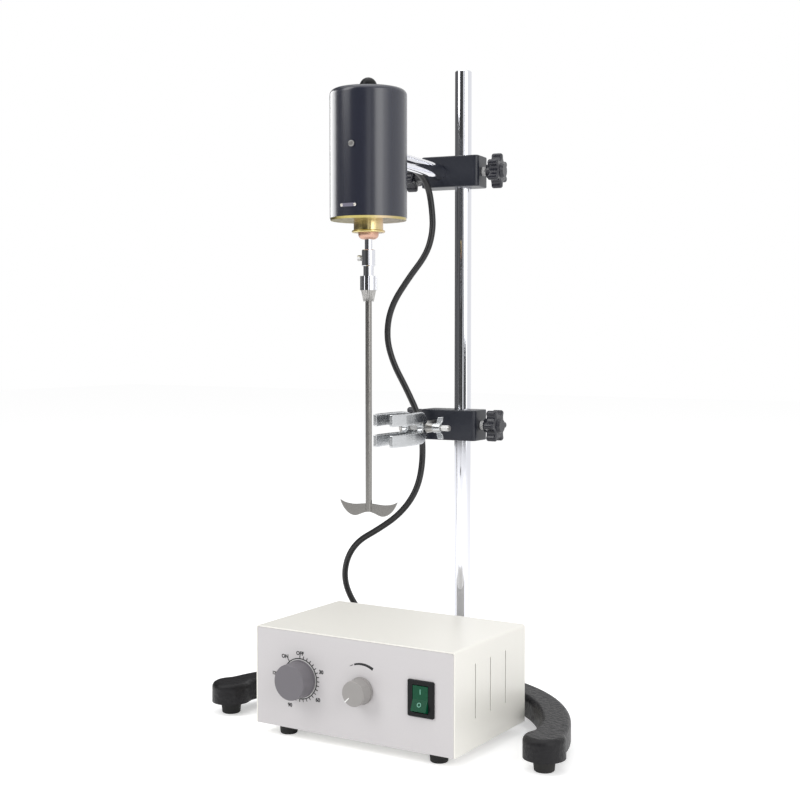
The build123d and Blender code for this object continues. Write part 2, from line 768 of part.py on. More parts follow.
with BuildPart() as stirring_rod:
    with BuildSketch(motor_frame.offset(rod_bottom_z)):
        Circle(rod_d / 2)
    extrude(amount=rod_top - rod_bottom_z)
    chamfer(stirring_rod.edges().group_by(Axis.Z)[-1], 0.5)
    with BuildSketch(motor_frame.offset(rod_bottom_z)):
        Rectangle(2 * rod_d, paddle_thickness)
    extrude(amount=10, mode=Mode.SUBTRACT)
write(stirring_rod, "stirring_rod")

paddle_neck_z = rod_bottom_z + paddle_neck_height
paddle_tip_z = rod_bottom_z + paddle_tip_height
paddle_lobe_z = rod_bottom_z - paddle_lobe_depth
with BuildPart() as paddle:
    with BuildSketch(in_frame(motor_frame, facing_front(paddle_thickness / 2))):
        for side in (-1, 1):
            with BuildLine():
                top = Spline(
                    [(0, paddle_neck_z), (side * paddle_half_span / 2, paddle_neck_z - 1), (side * paddle_half_span, paddle_tip_z)],
                    tangents=[(side, 0), (side, 0.65)],
                )
                belly = Spline(
                    [top @ 1, (side * paddle_half_span * 0.46, paddle_lobe_z), (0, rod_bottom_z)],
                    tangents=[(-side * 0.35, -1), (-side, 0.15)],
                )
                Line(belly @ 1, top @ 0)
            make_face()
    extrude(amount=paddle_thickness)
write(paddle, "paddle")

# ==============================================================================================
# Flask clamp: two forked jaws on one pin through the handle's flattened end. In the clamp's
# frame x runs across the jaws, y back along the handle, and the pin is vertical.
# ==============================================================================================
clamp_frame = in_frame(lower_frame, Plane.XY.shift_origin((-lower_cross_offset, 0, 0)))
pin_place = (0, -jaw_pin_setback)
outer_lug_top = tongue_half_height + 2 * lug_thickness + 3 * turned_fit

with BuildPart() as clamp_handle:
    with BuildSketch(in_frame(clamp_frame, facing_front(block_depth / 2 + handle_behind))):
        Circle(handle_d / 2)
    extrude(amount=block_depth / 2 + handle_behind + jaw_pin_setback - lug_radius - 1)
    chamfer(clamp_handle.edges().sort_by(Axis.Y)[-1], 0.8)
    with BuildSketch(clamp_frame.offset(-tongue_half_height)):
        with Locations((0, -jaw_pin_setback)):
            Circle(tongue_half_width)
        with Locations((0, -jaw_pin_setback + lug_radius)):
            Rectangle(2 * tongue_half_width, 2 * lug_radius)
    extrude(amount=2 * tongue_half_height)
    with BuildSketch(clamp_frame.offset(-handle_d)):
        with Locations(pin_place):
            Circle(jaw_pin_d / 2 + turned_fit)
    extrude(amount=2 * handle_d, mode=Mode.SUBTRACT)
write(clamp_handle, "clamp_handle")

with BuildPart() as jaw_pin:
    with BuildSketch(clamp_frame.offset(-outer_lug_top - 1.5)):
        with Locations(pin_place):
            Circle(jaw_pin_d / 2)
    extrude(amount=2 * outer_lug_top + 3)
    for head_z in (-outer_lug_top - 1.5, outer_lug_top + turned_fit):
        with BuildSketch(clamp_frame.offset(head_z)):
            with Locations(pin_place):
                Circle(jaw_pin_d / 2 + 1)
        extrude(amount=1.45)
write(jaw_pin, "jaw_pin")


def forked_jaw(side, lug_start):
    """Make one cupped jaw: two fingers, a round web at the rear and two lugs round the pin."""
    finger_length = jaw_front - jaw_rear
    widest = jaw_half_width - jaw_wall
    web_y = -jaw_rear - jaw_height / 2
    with BuildPart() as jaw:
        with BuildSketch(in_frame(clamp_frame, Plane.YZ)):
            with Locations((web_y, 0)):
                Circle(jaw_height / 2)
            with Locations(((web_y - jaw_front) / 2, 0)):
                Rectangle(jaw_front + web_y, jaw_height)
            with Locations((-(jaw_front + finger_gap_rear + finger_gap / 2) / 2, 0)):
                Rectangle(jaw_front - finger_gap_rear - finger_gap / 2, finger_gap, mode=Mode.SUBTRACT)
            with Locations((-finger_gap_rear - finger_gap / 2, 0)):
                Circle(finger_gap / 2, mode=Mode.SUBTRACT)
        extrude(amount=side * jaw_half_width)
        with BuildSketch(clamp_frame.offset(-jaw_height)):
            with BuildLine():
                inner = Spline(
                    [
                        (side * 2.4, -jaw_rear),
                        (side * (widest - 1.4), -jaw_rear - finger_length * 0.34),
                        (side * widest, -jaw_rear - finger_length * 0.67),
                        (side * (widest - 1.6), -jaw_front),
                    ]
                )
                outer = Spline(
                    [
                        (side * (jaw_half_width - 4), -jaw_front),
                        (side * (jaw_half_width - 0.4), -jaw_rear - finger_length * 0.78),
                        (side * jaw_half_width, -jaw_rear - finger_length * 0.49),
                        (side * (jaw_half_width - 4), -jaw_rear),
                    ]
                )
                Line(inner @ 1, outer @ 0)
                Line(outer @ 1, inner @ 0)
            make_face()
        extrude(amount=2 * jaw_height, mode=Mode.INTERSECT)
        for start in (lug_start, -lug_start - lug_thickness):
            with BuildSketch(clamp_frame.offset(start)):
                with Locations(pin_place):
                    Circle(lug_radius)
                with BuildLine():
                    Polyline(
                        (side * 0.6, -jaw_pin_setback + lug_radius * 0.99),
                        (side * 9, -jaw_rear - 1),
                        (side * 9, -jaw_rear - 6),
                        (side * 5, -jaw_rear - 6),
                        (side * 2.6, -jaw_rear - 1),
                        (-side * 2, -jaw_pin_setback - lug_radius * 0.9),
                        close=True,
                    )
                make_face()
                with Locations(pin_place):
                    Circle(jaw_pin_d / 2 + running_fit, mode=Mode.SUBTRACT)
            extrude(amount=lug_thickness)
        with BuildSketch(in_frame(clamp_frame, Plane.YZ)):
            with Locations((-jaw_screw_setback, 0)):
                SlotOverall(jaw_screw_d + 2, jaw_screw_d + 2 * running_fit)
        extrude(amount=side * 2 * jaw_half_width, mode=Mode.SUBTRACT)
    return jaw


right_jaw = forked_jaw(1, tongue_half_height + turned_fit)
write(right_jaw, "right_jaw")
left_jaw = forked_jaw(-1, tongue_half_height + lug_thickness + 2 * turned_fit)
write(left_jaw, "left_jaw")

screw_head_x = -12.6
ferrule_x = 12.6
wing_x = ferrule_x + 7
wing_hub_length = 7.5
wing_hub_d = 9.0
with BuildPart() as clamp_screw:
    with BuildSketch(in_frame(clamp_frame, Plane.YZ.offset(screw_head_x - 3))):
        with Locations((-jaw_screw_setback, 0)):
            Circle(jaw_screw_d / 2)
    extrude(amount=wing_x + wing_hub_length + 9 - screw_head_x + 3)
    with BuildSketch(in_frame(clamp_frame, Plane.YZ.offset(screw_head_x))):
        with Locations((-jaw_screw_setback, 0)):
            Circle(jaw_screw_d)
    extrude(amount=-3)
    with BuildSketch(in_frame(clamp_frame, Plane.YZ.offset(ferrule_x))):
        with Locations((-jaw_screw_setback, 0)):
            Circle(jaw_screw_d)
    extrude(amount=wing_x - ferrule_x - free_gap, taper=12)
write(clamp_screw, "clamp_screw")

with BuildPart() as wing_nut:
    with BuildSketch(in_frame(clamp_frame, Plane.YZ.offset(wing_x))):
        with Locations((-jaw_screw_setback, 0)):
            Circle(wing_hub_d / 2)
    extrude(amount=wing_hub_length, taper=6)
    with BuildSketch(in_frame(clamp_frame, Plane.XZ.offset(jaw_screw_setback - 1.25))):
        for side in (-1, 1):
            with BuildLine():
                Polyline(
                    (wing_x + 1, side * 2),
                    (wing_x + 3, side * wing_hub_d / 2),
                    (wing_x + 4.5, side * wing_span / 2),
                    (wing_x + 9.5, side * (wing_span / 2 + 0.5)),
                    (wing_x + 9.5, side * (wing_span / 2 - 3)),
                    (wing_x + 6, side * 2),
                    close=True,
                )
            make_face()
    extrude(amount=2.5)
    with BuildSketch(in_frame(clamp_frame, Plane.YZ.offset(wing_x))):
        with Locations((-jaw_screw_setback, 0)):
            Circle(jaw_screw_d / 2 + turned_fit)
    extrude(amount=wing_hub_length + 4, mode=Mode.SUBTRACT)
write(wing_nut, "wing_nut")

# ==============================================================================================
# Control box
# ==============================================================================================
box_middle = (box_front + box_back) / 2
tab_edge_x = box_width / 2 - sheet
tab_heights = (box_bottom + tab_inset, box_top - tab_inset)
tab_middles = [(side * (tab_edge_x - tab_width / 2), z) for side in (-1, 1) for z in tab_heights]
cover_screw_places = [(side * (tab_edge_x - tab_width / 2 - 1), z) for side in (-1, 1) for z in tab_heights]

with BuildPart() as box_cover:
    with BuildSketch(facing_front(box_front)):
        with Locations((0, (box_bottom + box_top) / 2)):
            corners = Rectangle(box_width, box_height)
        fillet(corners.vertices().group_by(Axis.Y)[-1], bend_radius)
    extrude(amount=-box_depth)
    open_faces = box_cover.faces().filter_by(Axis.Y) + box_cover.faces().sort_by(Axis.Z)[:1]
    offset(amount=-sheet, openings=open_faces)
    with BuildSketch(Plane.YZ.offset(-box_width / 2)):
        for setback in vent_setbacks:
            with Locations((box_front + setback, vent_z)):
                SlotOverall(vent_length, vent_width, rotation=90)
    extrude(amount=box_width, mode=Mode.SUBTRACT)
    with BuildSketch(facing_front(box_back - sheet)):
        with Locations(*tab_middles):
            Rectangle(tab_width, tab_height)
        with Locations(*cover_screw_places):
            Circle(cover_screw_d / 2 + turned_fit, mode=Mode.SUBTRACT)
    extrude(amount=sheet)
write(box_cover, "box_cover")

with BuildPart() as box_chassis:
    with BuildSketch(Plane.YZ.offset(-chassis_width / 2)):
        with BuildLine():
            Polyline(
                (panel_back, box_bottom),
                (box_back, box_bottom),
                (box_back, chassis_top),
                (box_back - sheet, chassis_top),
                (box_back - sheet, box_bottom + sheet),
                (panel_back + sheet, box_bottom + sheet),
                (panel_back + sheet, box_bottom + flange_height),
                (panel_back, box_bottom + flange_height),
                close=True,
            )
        make_face()
    extrude(amount=chassis_width)
    fillet(box_chassis.edges().filter_by(Axis.X).group_by(Axis.Z)[0], 1)
    fillet(box_chassis.edges().filter_by(Axis.Y).group_by(Axis.Z)[-1], inner_corner_radius)
    with BuildSketch(facing_front(box_back)):
        with Locations((gland_x, gland_z)):
            Circle(gland_thread_d / 2 + turned_fit)
        with Locations((inlet_x, inlet_z)):
            Rectangle(inlet_width, inlet_height)
        with Locations(*cover_screw_places):
            Circle(cover_screw_d / 2 + turned_fit)
    extrude(amount=sheet, mode=Mode.SUBTRACT)
    with BuildSketch(Plane.XY.offset(box_bottom)):
        with Locations((0, box_middle)):
            with GridLocations(box_width - 2 * box_foot_inset_x, box_depth - 2 * box_foot_inset_y, 2, 2):
                Circle(2 + turned_fit)
    extrude(amount=sheet, mode=Mode.SUBTRACT)
write(box_chassis, "box_chassis")

with BuildPart() as front_panel:
    with BuildSketch(facing_front(box_front)):
        with Locations((0, (box_bottom + chassis_top) / 2)):
            outline = Rectangle(chassis_width, chassis_top - box_bottom)
        fillet(outline.vertices().group_by(Axis.Y)[-1], inner_corner_radius)
        with Locations((timer_x, dial_z), (speed_x, speed_z)):
            Circle(bush_d / 2 + turned_fit, mode=Mode.SUBTRACT)
        with Locations((switch_x, switch_z)):
            Rectangle(switch_body_width + 0.2, switch_body_height + 0.2, mode=Mode.SUBTRACT)
    extrude(amount=-panel_thickness)
write(front_panel, "front_panel")

with BuildPart() as box_feet:
    with BuildSketch(Plane.XY.offset(box_foot_height)):
        with Locations((0, box_middle)):
            with GridLocations(box_width - 2 * box_foot_inset_x, box_depth - 2 * box_foot_inset_y, 2, 2):
                Circle(box_foot_d / 2)
    extrude(amount=-box_foot_height, taper=5)
    chamfer(box_feet.edges().group_by(Axis.Z)[0], 0.8)
    with BuildSketch(Plane.XY.offset(box_foot_height)):
        with Locations((0, box_middle)):
            with GridLocations(box_width - 2 * box_foot_inset_x, box_depth - 2 * box_foot_inset_y, 2, 2):
                Circle(2)
    extrude(amount=sheet)
write(box_feet, "box_feet")

with BuildPart() as cover_screws:
    with BuildSketch(facing_front(box_back)):
        with Locations(*cover_screw_places):
            Circle(cover_screw_head_d / 2)
    extrude(amount=-1.8, taper=15)
    with BuildSketch(facing_front(box_back)):
        with Locations(*cover_screw_places):
            Circle(cover_screw_d / 2)
    extrude(amount=cover_screw_length)
write(cover_screws, "cover_screws")

# --- Timer, speed control and mains switch ----------------------------------------------------


def dial_knob(x, z, knob_d, length):
    """Make a plain tapered knob with a thin skirt and a bore for its spindle."""
    with BuildPart() as knob:
        with BuildSketch(facing_front(box_front - knob_stand_off)):
            with Locations((x, z)):
                Circle(knob_d / 2)
        extrude(amount=2)
        with BuildSketch(facing_front(box_front - knob_stand_off - 2)):
            with Locations((x, z)):
                Circle(knob_d / 2 - 0.4)
        extrude(amount=length - 2, taper=knob_taper)
        fillet(knob.edges().group_by(Axis.Y)[0], 1.2)
        with BuildSketch(facing_front(box_front - knob_stand_off)):
            with Locations((x, z)):
                Circle(spindle_d / 2 + turned_fit)
        extrude(amount=spindle_grip, mode=Mode.SUBTRACT)
    return knob


def dial_spindle(x, z):
    """Make the steel spindle between a knob and the piece that it turns."""
    with BuildPart() as spindle:
        with BuildSketch(facing_front(box_front - knob_stand_off - spindle_grip + free_gap)):
            with Locations((x, z)):
                Circle(spindle_d / 2)
        extrude(amount=-spindle_grip - knob_stand_off - panel_thickness - 6)
        chamfer(spindle.edges(), 0.4)
    return spindle


timer_knob = dial_knob(timer_x, dial_z, timer_knob_d, timer_knob_length)
write(timer_knob, "timer_knob")
timer_spindle = dial_spindle(timer_x, dial_z)
write(timer_spindle, "timer_spindle")
speed_knob = dial_knob(speed_x, speed_z, speed_knob_d, speed_knob_length)
with BuildPart() as pointed_knob:
    add(speed_knob.part)
    with BuildSketch(facing_front(box_front - knob_stand_off - speed_knob_length)):
        with Locations(Location((speed_x, speed_z), 225)):
            with Locations((speed_knob_d / 2 - 3, 0)):
                Rectangle(7, 1.2)
    extrude(amount=-0.6, mode=Mode.SUBTRACT)
write(pointed_knob, "speed_knob")
speed_spindle = dial_spindle(speed_x, speed_z)
write(speed_spindle, "speed_spindle")

with BuildPart() as timer_body:
    with BuildSketch(facing_front(panel_back)):
        with Locations((timer_x, dial_z)):
            RectangleRounded(timer_body_size, timer_body_size, 3)
    extrude(amount=-timer_body_length)
    with BuildSketch(facing_front(box_front + free_gap)):
        with Locations((timer_x, dial_z)):
            Circle(bush_d / 2)
    extrude(amount=-panel_thickness)
    with BuildSketch(facing_front(box_front)):
        with Locations((timer_x, dial_z)):
            Circle(spindle_d / 2 + running_fit)
    extrude(amount=-panel_thickness - 7, mode=Mode.SUBTRACT)
write(timer_body, "timer_body")

with BuildPart() as potentiometer:
    with BuildSketch(facing_front(panel_back)):
        with Locations((speed_x, speed_z)):
            Circle(pot_body_d / 2)
    extrude(amount=-pot_body_length)
    with BuildSketch(facing_front(box_front + free_gap)):
        with Locations((speed_x, speed_z)):
            Circle(bush_d / 2)
    extrude(amount=-panel_thickness)
    with BuildSketch(facing_front(box_front)):
        with Locations((speed_x, speed_z)):
            Circle(spindle_d / 2 + running_fit)
    extrude(amount=-panel_thickness - 7, mode=Mode.SUBTRACT)
    with BuildSketch(facing_front(panel_back + pot_body_length / 2)):
        with Locations((speed_x, speed_z - pot_body_d / 2 - 3)):
            with GridLocations(5, 0, 3, 1):
                Rectangle(2, 8)
    extrude(amount=-0.8)
write(potentiometer, "potentiometer")

pivot_depth = box_front + free_gap
with BuildPart() as switch_frame:
    with BuildSketch(facing_front(box_front)):
        with Locations((switch_x, switch_z)):
            RectangleRounded(bezel_width, bezel_height, 1.5)
    extrude(amount=bezel_thickness)
    chamfer(switch_frame.edges().group_by(Axis.Y)[0], 0.7)
    with BuildSketch(facing_front(box_front)):
        with Locations((switch_x, switch_z)):
            Rectangle(switch_body_width, switch_body_height)
    extrude(amount=-switch_body_length)
    with BuildSketch(facing_front(box_front - bezel_thickness)):
        with Locations((switch_x, switch_z)):
            Rectangle(rocker_width + 2 * rocker_gap, rocker_height + 2 * rocker_gap)
    extrude(amount=-bezel_thickness - rocker_pocket, mode=Mode.SUBTRACT)
    with BuildSketch(Plane.YZ.offset(switch_x - rocker_width / 2 - pivot_end)):
        with Locations((pivot_depth, switch_z)):
            Circle(pivot_d / 2 + running_fit)
    extrude(amount=rocker_width + 2 * pivot_end, mode=Mode.SUBTRACT)
    with BuildSketch(facing_front(box_front + switch_body_length)):
        with Locations((switch_x, switch_z)):
            with GridLocations(10, 16, 2, 2):
                Rectangle(0.8, 4.8)
    extrude(amount=-7)
write(switch_frame, "switch_frame")

# The rocker's face is two planes that meet over the pivot; the rest is round about the pivot,
# so it stays inside the frame as it tips.
face_depth = bezel_thickness + free_gap
tip_cos = cos(radians(rocker_angle))
tip_sin = sin(radians(rocker_angle))
meet_z = -face_depth * (1 - tip_cos) / tip_sin
with BuildPart() as switch_rocker:
    with BuildSketch(Plane.YZ.offset(switch_x - rocker_width / 2)):
        with Locations((pivot_depth, switch_z)):
            Circle(rocker_height / 2)
        with BuildLine():
            Polyline(
                (pivot_depth - face_depth, switch_z + rocker_height),
                (pivot_depth - face_depth, switch_z + meet_z),
                (
                    pivot_depth - face_depth * tip_cos - rocker_height * tip_sin,
                    switch_z + face_depth * tip_sin - rocker_height * tip_cos,
                ),
                (pivot_depth + rocker_back, switch_z - rocker_height),
                (pivot_depth + rocker_back, switch_z + rocker_height),
                close=True,
            )
        make_face(mode=Mode.INTERSECT)
    extrude(amount=rocker_width)
    with BuildSketch(Plane.YZ.offset(switch_x - rocker_width / 2 - pivot_end + free_gap)):
        with Locations((pivot_depth, switch_z)):
            Circle(pivot_d / 2)
    extrude(amount=rocker_width + 2 * pivot_end - 2 * free_gap)
write(switch_rocker, "switch_rocker")

# --- What the box holds -----------------------------------------------------------------------
with BuildPart() as transformer:
    with BuildSketch(Plane.XY.offset(box_bottom + sheet)):
        with Locations((transformer_x, box_middle)):
            Rectangle(core_width, core_stack)
    extrude(amount=core_height)
    with BuildSketch(Plane.XY.offset(box_bottom + sheet + core_limb)):
        with Locations((transformer_x, box_middle)):
            RectangleRounded(core_width - 2 * core_limb, coil_depth, core_limb / 2)
    extrude(amount=core_height - 2 * core_limb)
write(transformer, "transformer")

board_y = box_back - sheet - board_depth / 2 - 2 * board_margin
with BuildPart() as circuit_board:
    with BuildSketch(Plane.XY.offset(box_bottom + sheet + board_stand)):
        with Locations((board_x, board_y)):
            Rectangle(board_width, board_depth)
    extrude(amount=board_thickness)
    with BuildSketch(Plane.XY.offset(box_bottom + sheet)):
        with Locations((board_x, board_y)):
            with GridLocations(board_width - 2 * board_margin, board_depth - 2 * board_margin, 2, 2):
                Circle(board_margin / 2)
    extrude(amount=board_stand)
    with BuildSketch(Plane.XY.offset(box_bottom + sheet + board_stand + board_thickness)):
        with Locations((board_x - board_width / 4, board_y)):
            Circle(board_width / 10)
        with Locations((board_x + board_width / 4, board_y)):
            Rectangle(board_margin, board_depth - 4 * board_margin)
        with Locations((board_x, board_y)):
            with GridLocations(2 * board_margin, 2 * board_margin, 2, 2):
                Rectangle(board_margin, board_margin / 2)
    extrude(amount=tallest_component)
write(circuit_board, "circuit_board")

with BuildPart() as mains_inlet:
    with BuildSketch(facing_front(box_back)):
        with Locations((inlet_x, inlet_z)):
            RectangleRounded(inlet_width + 21, inlet_height + 4, 4)
    extrude(amount=-inlet_flange)
    with BuildSketch(facing_front(box_back)):
        with Locations((inlet_x, inlet_z)):
            Rectangle(inlet_width - 0.2, inlet_height - 0.2)
    extrude(amount=inlet_depth)
    with BuildSketch(facing_front(box_back + inlet_flange)):
        with Locations((inlet_x, inlet_z)):
            RectangleRounded(inlet_width - 3, inlet_height - 3.5, 2)
    extrude(amount=inlet_depth - 1, mode=Mode.SUBTRACT)
    with BuildSketch(facing_front(box_back - inlet_depth + 4)):
        with Locations((inlet_x, inlet_z - 1.5), (inlet_x - 7, inlet_z + 2), (inlet_x + 7, inlet_z + 2)):
            Rectangle(2, 4)
    extrude(amount=4 - inlet_depth)
write(mains_inlet, "mains_inlet")

with BuildPart() as cord_gland:
    with BuildSketch(facing_front(box_back)):
        with Locations((gland_x, gland_z)):
            RegularPolygon(gland_hex / 2, 6)
    extrude(amount=-gland_length / 3)
    with BuildSketch(facing_front(box_back + gland_length / 3)):
        with Locations((gland_x, gland_z)):
            Circle(gland_hex / 2 - 2)
    extrude(amount=-gland_length * 2 / 3, taper=12)
    with BuildSketch(facing_front(box_back)):
        with Locations((gland_x, gland_z)):
            Circle(gland_thread_d / 2)
    extrude(amount=gland_length / 2)
    with BuildSketch(facing_front(box_back + gland_length)):
        with Locations((gland_x, gland_z)):
            Circle(cord_d / 2 + running_fit)
    extrude(amount=gland_length + 10, mode=Mode.SUBTRACT)
write(cord_gland, "cord_gland")

# --- Motor cord: from inside the can, along the arm, down behind the clamp and to the gland ----
cord_route = [
    (-12.4, -168.3, 515.5),
    (-18.9, -120.8, 515.5),
    (-23.5, -74.3, 514.5),
    (-25.0, -43.0, 512.3),
    (-24.8, -24.3, 500.0),
    (-21.8, -22.3, 479.0),
    (-19.3, -24.4, 457.0),
    (-23.8, -28.6, 434.5),
    (-42.0, -32.0, 412.0),
    (-61.0, -34.0, 385.0),
    (-66.5, -34.0, 357.0),
    (-60.0, -33.0, 331.0),
    (-44.0, -31.0, 303.0),
    (-31.0, -29.0, 276.0),
    (-31.7, -21.7, 246.0),
    (-31.8, -26.3, 219.0),
    (-37.0, -33.0, 199.0),
    (-52.0, -36.0, 181.0),
    (-74.0, -38.0, 166.0),
    (-97.0, -39.0, 153.0),
    (-111.0, -38.0, 134.0),
    (-116.5, -34.0, 111.0),
    (-112.0, -25.0, 88.0),
    (-99.0, -17.0, 69.0),
    (-83.0, -20.0, 54.0),
    (-75.0, -35.0, 47.0),
    (-74.0, -47.0, 46.0),
    (-74.0, -59.0, 46.0),
]


def corner_radii(route):
    """Return the radius of each corner: 0.45 of its shorter run over the tangent of half its turn."""
    radii = []
    for before, corner, after in zip(route, route[1:], route[2:]):
        run_in = Vector(corner) - Vector(before)
        run_out = Vector(after) - Vector(corner)
        half_turn = radians(run_in.get_angle(run_out)) / 2
        radii.append(0.45 * min(run_in.length, run_out.length) / tan(half_turn))
    return radii


cord_radii = corner_radii(cord_route)
print("motor cord radii:", [round(radius, 1) for radius in cord_radii])
with BuildPart() as motor_cord:
    with BuildLine() as cord_path:
        FilletPolyline(*cord_route, radius=cord_radii)
    with BuildSketch(Plane(origin=cord_path.line @ 0, z_dir=cord_path.line % 0)):
        Circle(cord_d / 2)
    sweep(path=cord_path.line)
cord_length = cord_path.wires()[0].length
cord_volume = pi * cord_d**2 / 4 * cord_length
print("motor cord length:", round(cord_length, 1), "volume ratio:", round(motor_cord.part.volume / cord_volume, 5))
write(motor_cord, "motor_cord")
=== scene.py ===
import bmesh
import bpy
import json
from math import atan2, cos, pi, radians, sin
from mathutils import Matrix, Vector


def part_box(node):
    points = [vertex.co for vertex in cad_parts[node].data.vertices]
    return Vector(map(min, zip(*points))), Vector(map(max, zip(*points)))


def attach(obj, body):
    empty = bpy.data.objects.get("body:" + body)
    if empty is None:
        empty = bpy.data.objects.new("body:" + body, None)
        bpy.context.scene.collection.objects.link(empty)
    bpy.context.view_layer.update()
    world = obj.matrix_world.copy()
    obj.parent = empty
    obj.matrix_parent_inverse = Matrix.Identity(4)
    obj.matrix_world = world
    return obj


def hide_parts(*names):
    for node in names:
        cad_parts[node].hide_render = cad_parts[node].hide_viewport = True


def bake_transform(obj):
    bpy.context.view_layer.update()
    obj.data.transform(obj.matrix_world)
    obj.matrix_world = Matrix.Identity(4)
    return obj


bl_info = {
    "name": "Overhead stirrer looks",
    "version": (1, 0, 0),
    "blender": (4, 5, 0),
    "location": "3D View > Sidebar > Stirrer",
    "description": "Finishes and fine detail for an overhead laboratory stirrer",
    "category": "Object",
}

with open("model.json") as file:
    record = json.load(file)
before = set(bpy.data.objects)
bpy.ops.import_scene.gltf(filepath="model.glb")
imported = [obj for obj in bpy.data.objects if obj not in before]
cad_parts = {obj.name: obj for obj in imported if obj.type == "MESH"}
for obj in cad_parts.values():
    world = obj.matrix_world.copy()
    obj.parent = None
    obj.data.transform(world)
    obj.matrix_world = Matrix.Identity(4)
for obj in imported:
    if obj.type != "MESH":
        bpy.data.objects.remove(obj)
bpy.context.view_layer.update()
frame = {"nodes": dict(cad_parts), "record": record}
NODES = frame["nodes"]
BODIES = frame["record"]["behaviour"]["bodies"]
BODY_OF = {node: body for body, nodes in BODIES.items() for node in nodes}
MM = 0.001

# Places on the solids, in millimetres, in the frame that they share.
PANEL_Y = -195.8
TIMER = Vector((-54.0, PANEL_Y, 55.5))
SPEED = Vector((10.5, PANEL_Y, 54.0))
SPEED_KNOB_FRONT = PANEL_Y - 14.1
SWITCH_Z = 55.5
ROCKER_PIVOT_Y = PANEL_Y + 0.3
ROCKER_FACE = 2.3
ROCKER_TILT = radians(22.0)
JOINTS = {joint["name"]: joint for joint in frame["record"]["behaviour"]["joints"]}
UPPER_AXIS = JOINTS["upper_column_knob_turn"]["axis"]
LOWER_AXIS = JOINTS["lower_column_knob_turn"]["axis"]
UPPER_TURN = atan2(UPPER_AXIS[1], UPPER_AXIS[0])
LOWER_TURN = atan2(LOWER_AXIS[1], LOWER_AXIS[0])
UPPER_Z = JOINTS["upper_column_knob_turn"]["pos_m"][2] / MM
LOWER_Z = JOINTS["lower_column_knob_turn"]["pos_m"][2] / MM
SPINDLE = Vector(JOINTS["spindle_turn"]["pos_m"]) / MM
BLOCK_RIGHT = 20.0
BLOCK_LEFT = 38.5
STUD_SHOW = 5.0
STUD_RADIUS = 4.0
CAN_RADIUS = 33.0
SLOT = Vector((-3.6, 0.0, 465.6))
CLAMP_SCREW = Vector((-22.0, -54.5, 0.0))
CLAMP_SCREW_RADIUS = 2.5
CORD_RADIUS = 3.0
CORD_ROUTE = [
    (-12.4, -168.3, 515.5),
    (-18.9, -120.8, 515.5),
    (-23.5, -74.3, 514.5),
    (-25.0, -43.0, 512.3),
    (-24.8, -24.3, 500.0),
    (-21.8, -22.3, 479.0),
    (-19.3, -24.4, 457.0),
    (-23.8, -28.6, 434.5),
    (-42.0, -32.0, 412.0),
    (-61.0, -34.0, 385.0),
    (-66.5, -34.0, 357.0),
    (-60.0, -33.0, 331.0),
    (-44.0, -31.0, 303.0),
    (-31.0, -29.0, 276.0),
    (-31.7, -21.7, 246.0),
    (-31.8, -26.3, 219.0),
    (-37.0, -33.0, 199.0),
    (-52.0, -36.0, 181.0),
    (-74.0, -38.0, 166.0),
    (-97.0, -39.0, 153.0),
    (-111.0, -38.0, 134.0),
    (-116.5, -34.0, 111.0),
    (-112.0, -25.0, 88.0),
    (-99.0, -17.0, 69.0),
    (-83.0, -20.0, 54.0),
    (-75.0, -35.0, 47.0),
    (-74.0, -47.0, 46.0),
    (-74.0, -59.0, 46.0),
]


def upper(x, y, z):
    """Return the place of a point given in the upper head's frame, in millimetres."""
    return Matrix.Rotation(UPPER_TURN, 3, "Z") @ Vector((x, y, z)) + Vector((0, 0, UPPER_Z))


def lower(x, y, z):
    """Return the place of a point given in the lower head's frame, in millimetres."""
    return Matrix.Rotation(LOWER_TURN, 3, "Z") @ Vector((x, y, z)) + Vector((0, 0, LOWER_Z))


def motor_place():
    """Return the matrix that takes a mesh from the motor's frame, in millimetres, to its place."""
    return (Matrix.Scale(MM, 4) @ Matrix.Translation((SPINDLE.x, SPINDLE.y, 0))
            @ Matrix.Rotation(UPPER_TURN, 4, "Z"))


# ---------------------------------------------------------------------------------------------
# Colour and material helpers
# ---------------------------------------------------------------------------------------------
CLOUDS_PER_METRE = 22.0
CLOUD_EDGE = 0.12


def tint(key):
    """Return a colour from the settings, as the four numbers that shaders take."""
    return [*getattr(bpy.context.scene.stirrer_colours, key), 1.0]


def linear(hex_colour):
    """Turn an sRGB hex colour into the linear colour that shaders take."""
    parts = [int(hex_colour[i : i + 2], 16) / 255 for i in (1, 3, 5)]
    return [c / 12.92 if c <= 0.04045 else ((c + 0.055) / 1.055) ** 2.4 for c in parts] + [1.0]


def add_node(tree, kind, links=None, values=None, **settings):
    """Add a node, set its properties and values, and link its inputs from other sockets."""
    node = tree.nodes.new(kind)
    for key, value in settings.items():
        setattr(node, key, value)
    for key, value in (values or {}).items():
        node.inputs[key].default_value = value
    for key, socket in (links or {}).items():
        tree.links.new(socket, node.inputs[key])
    return node


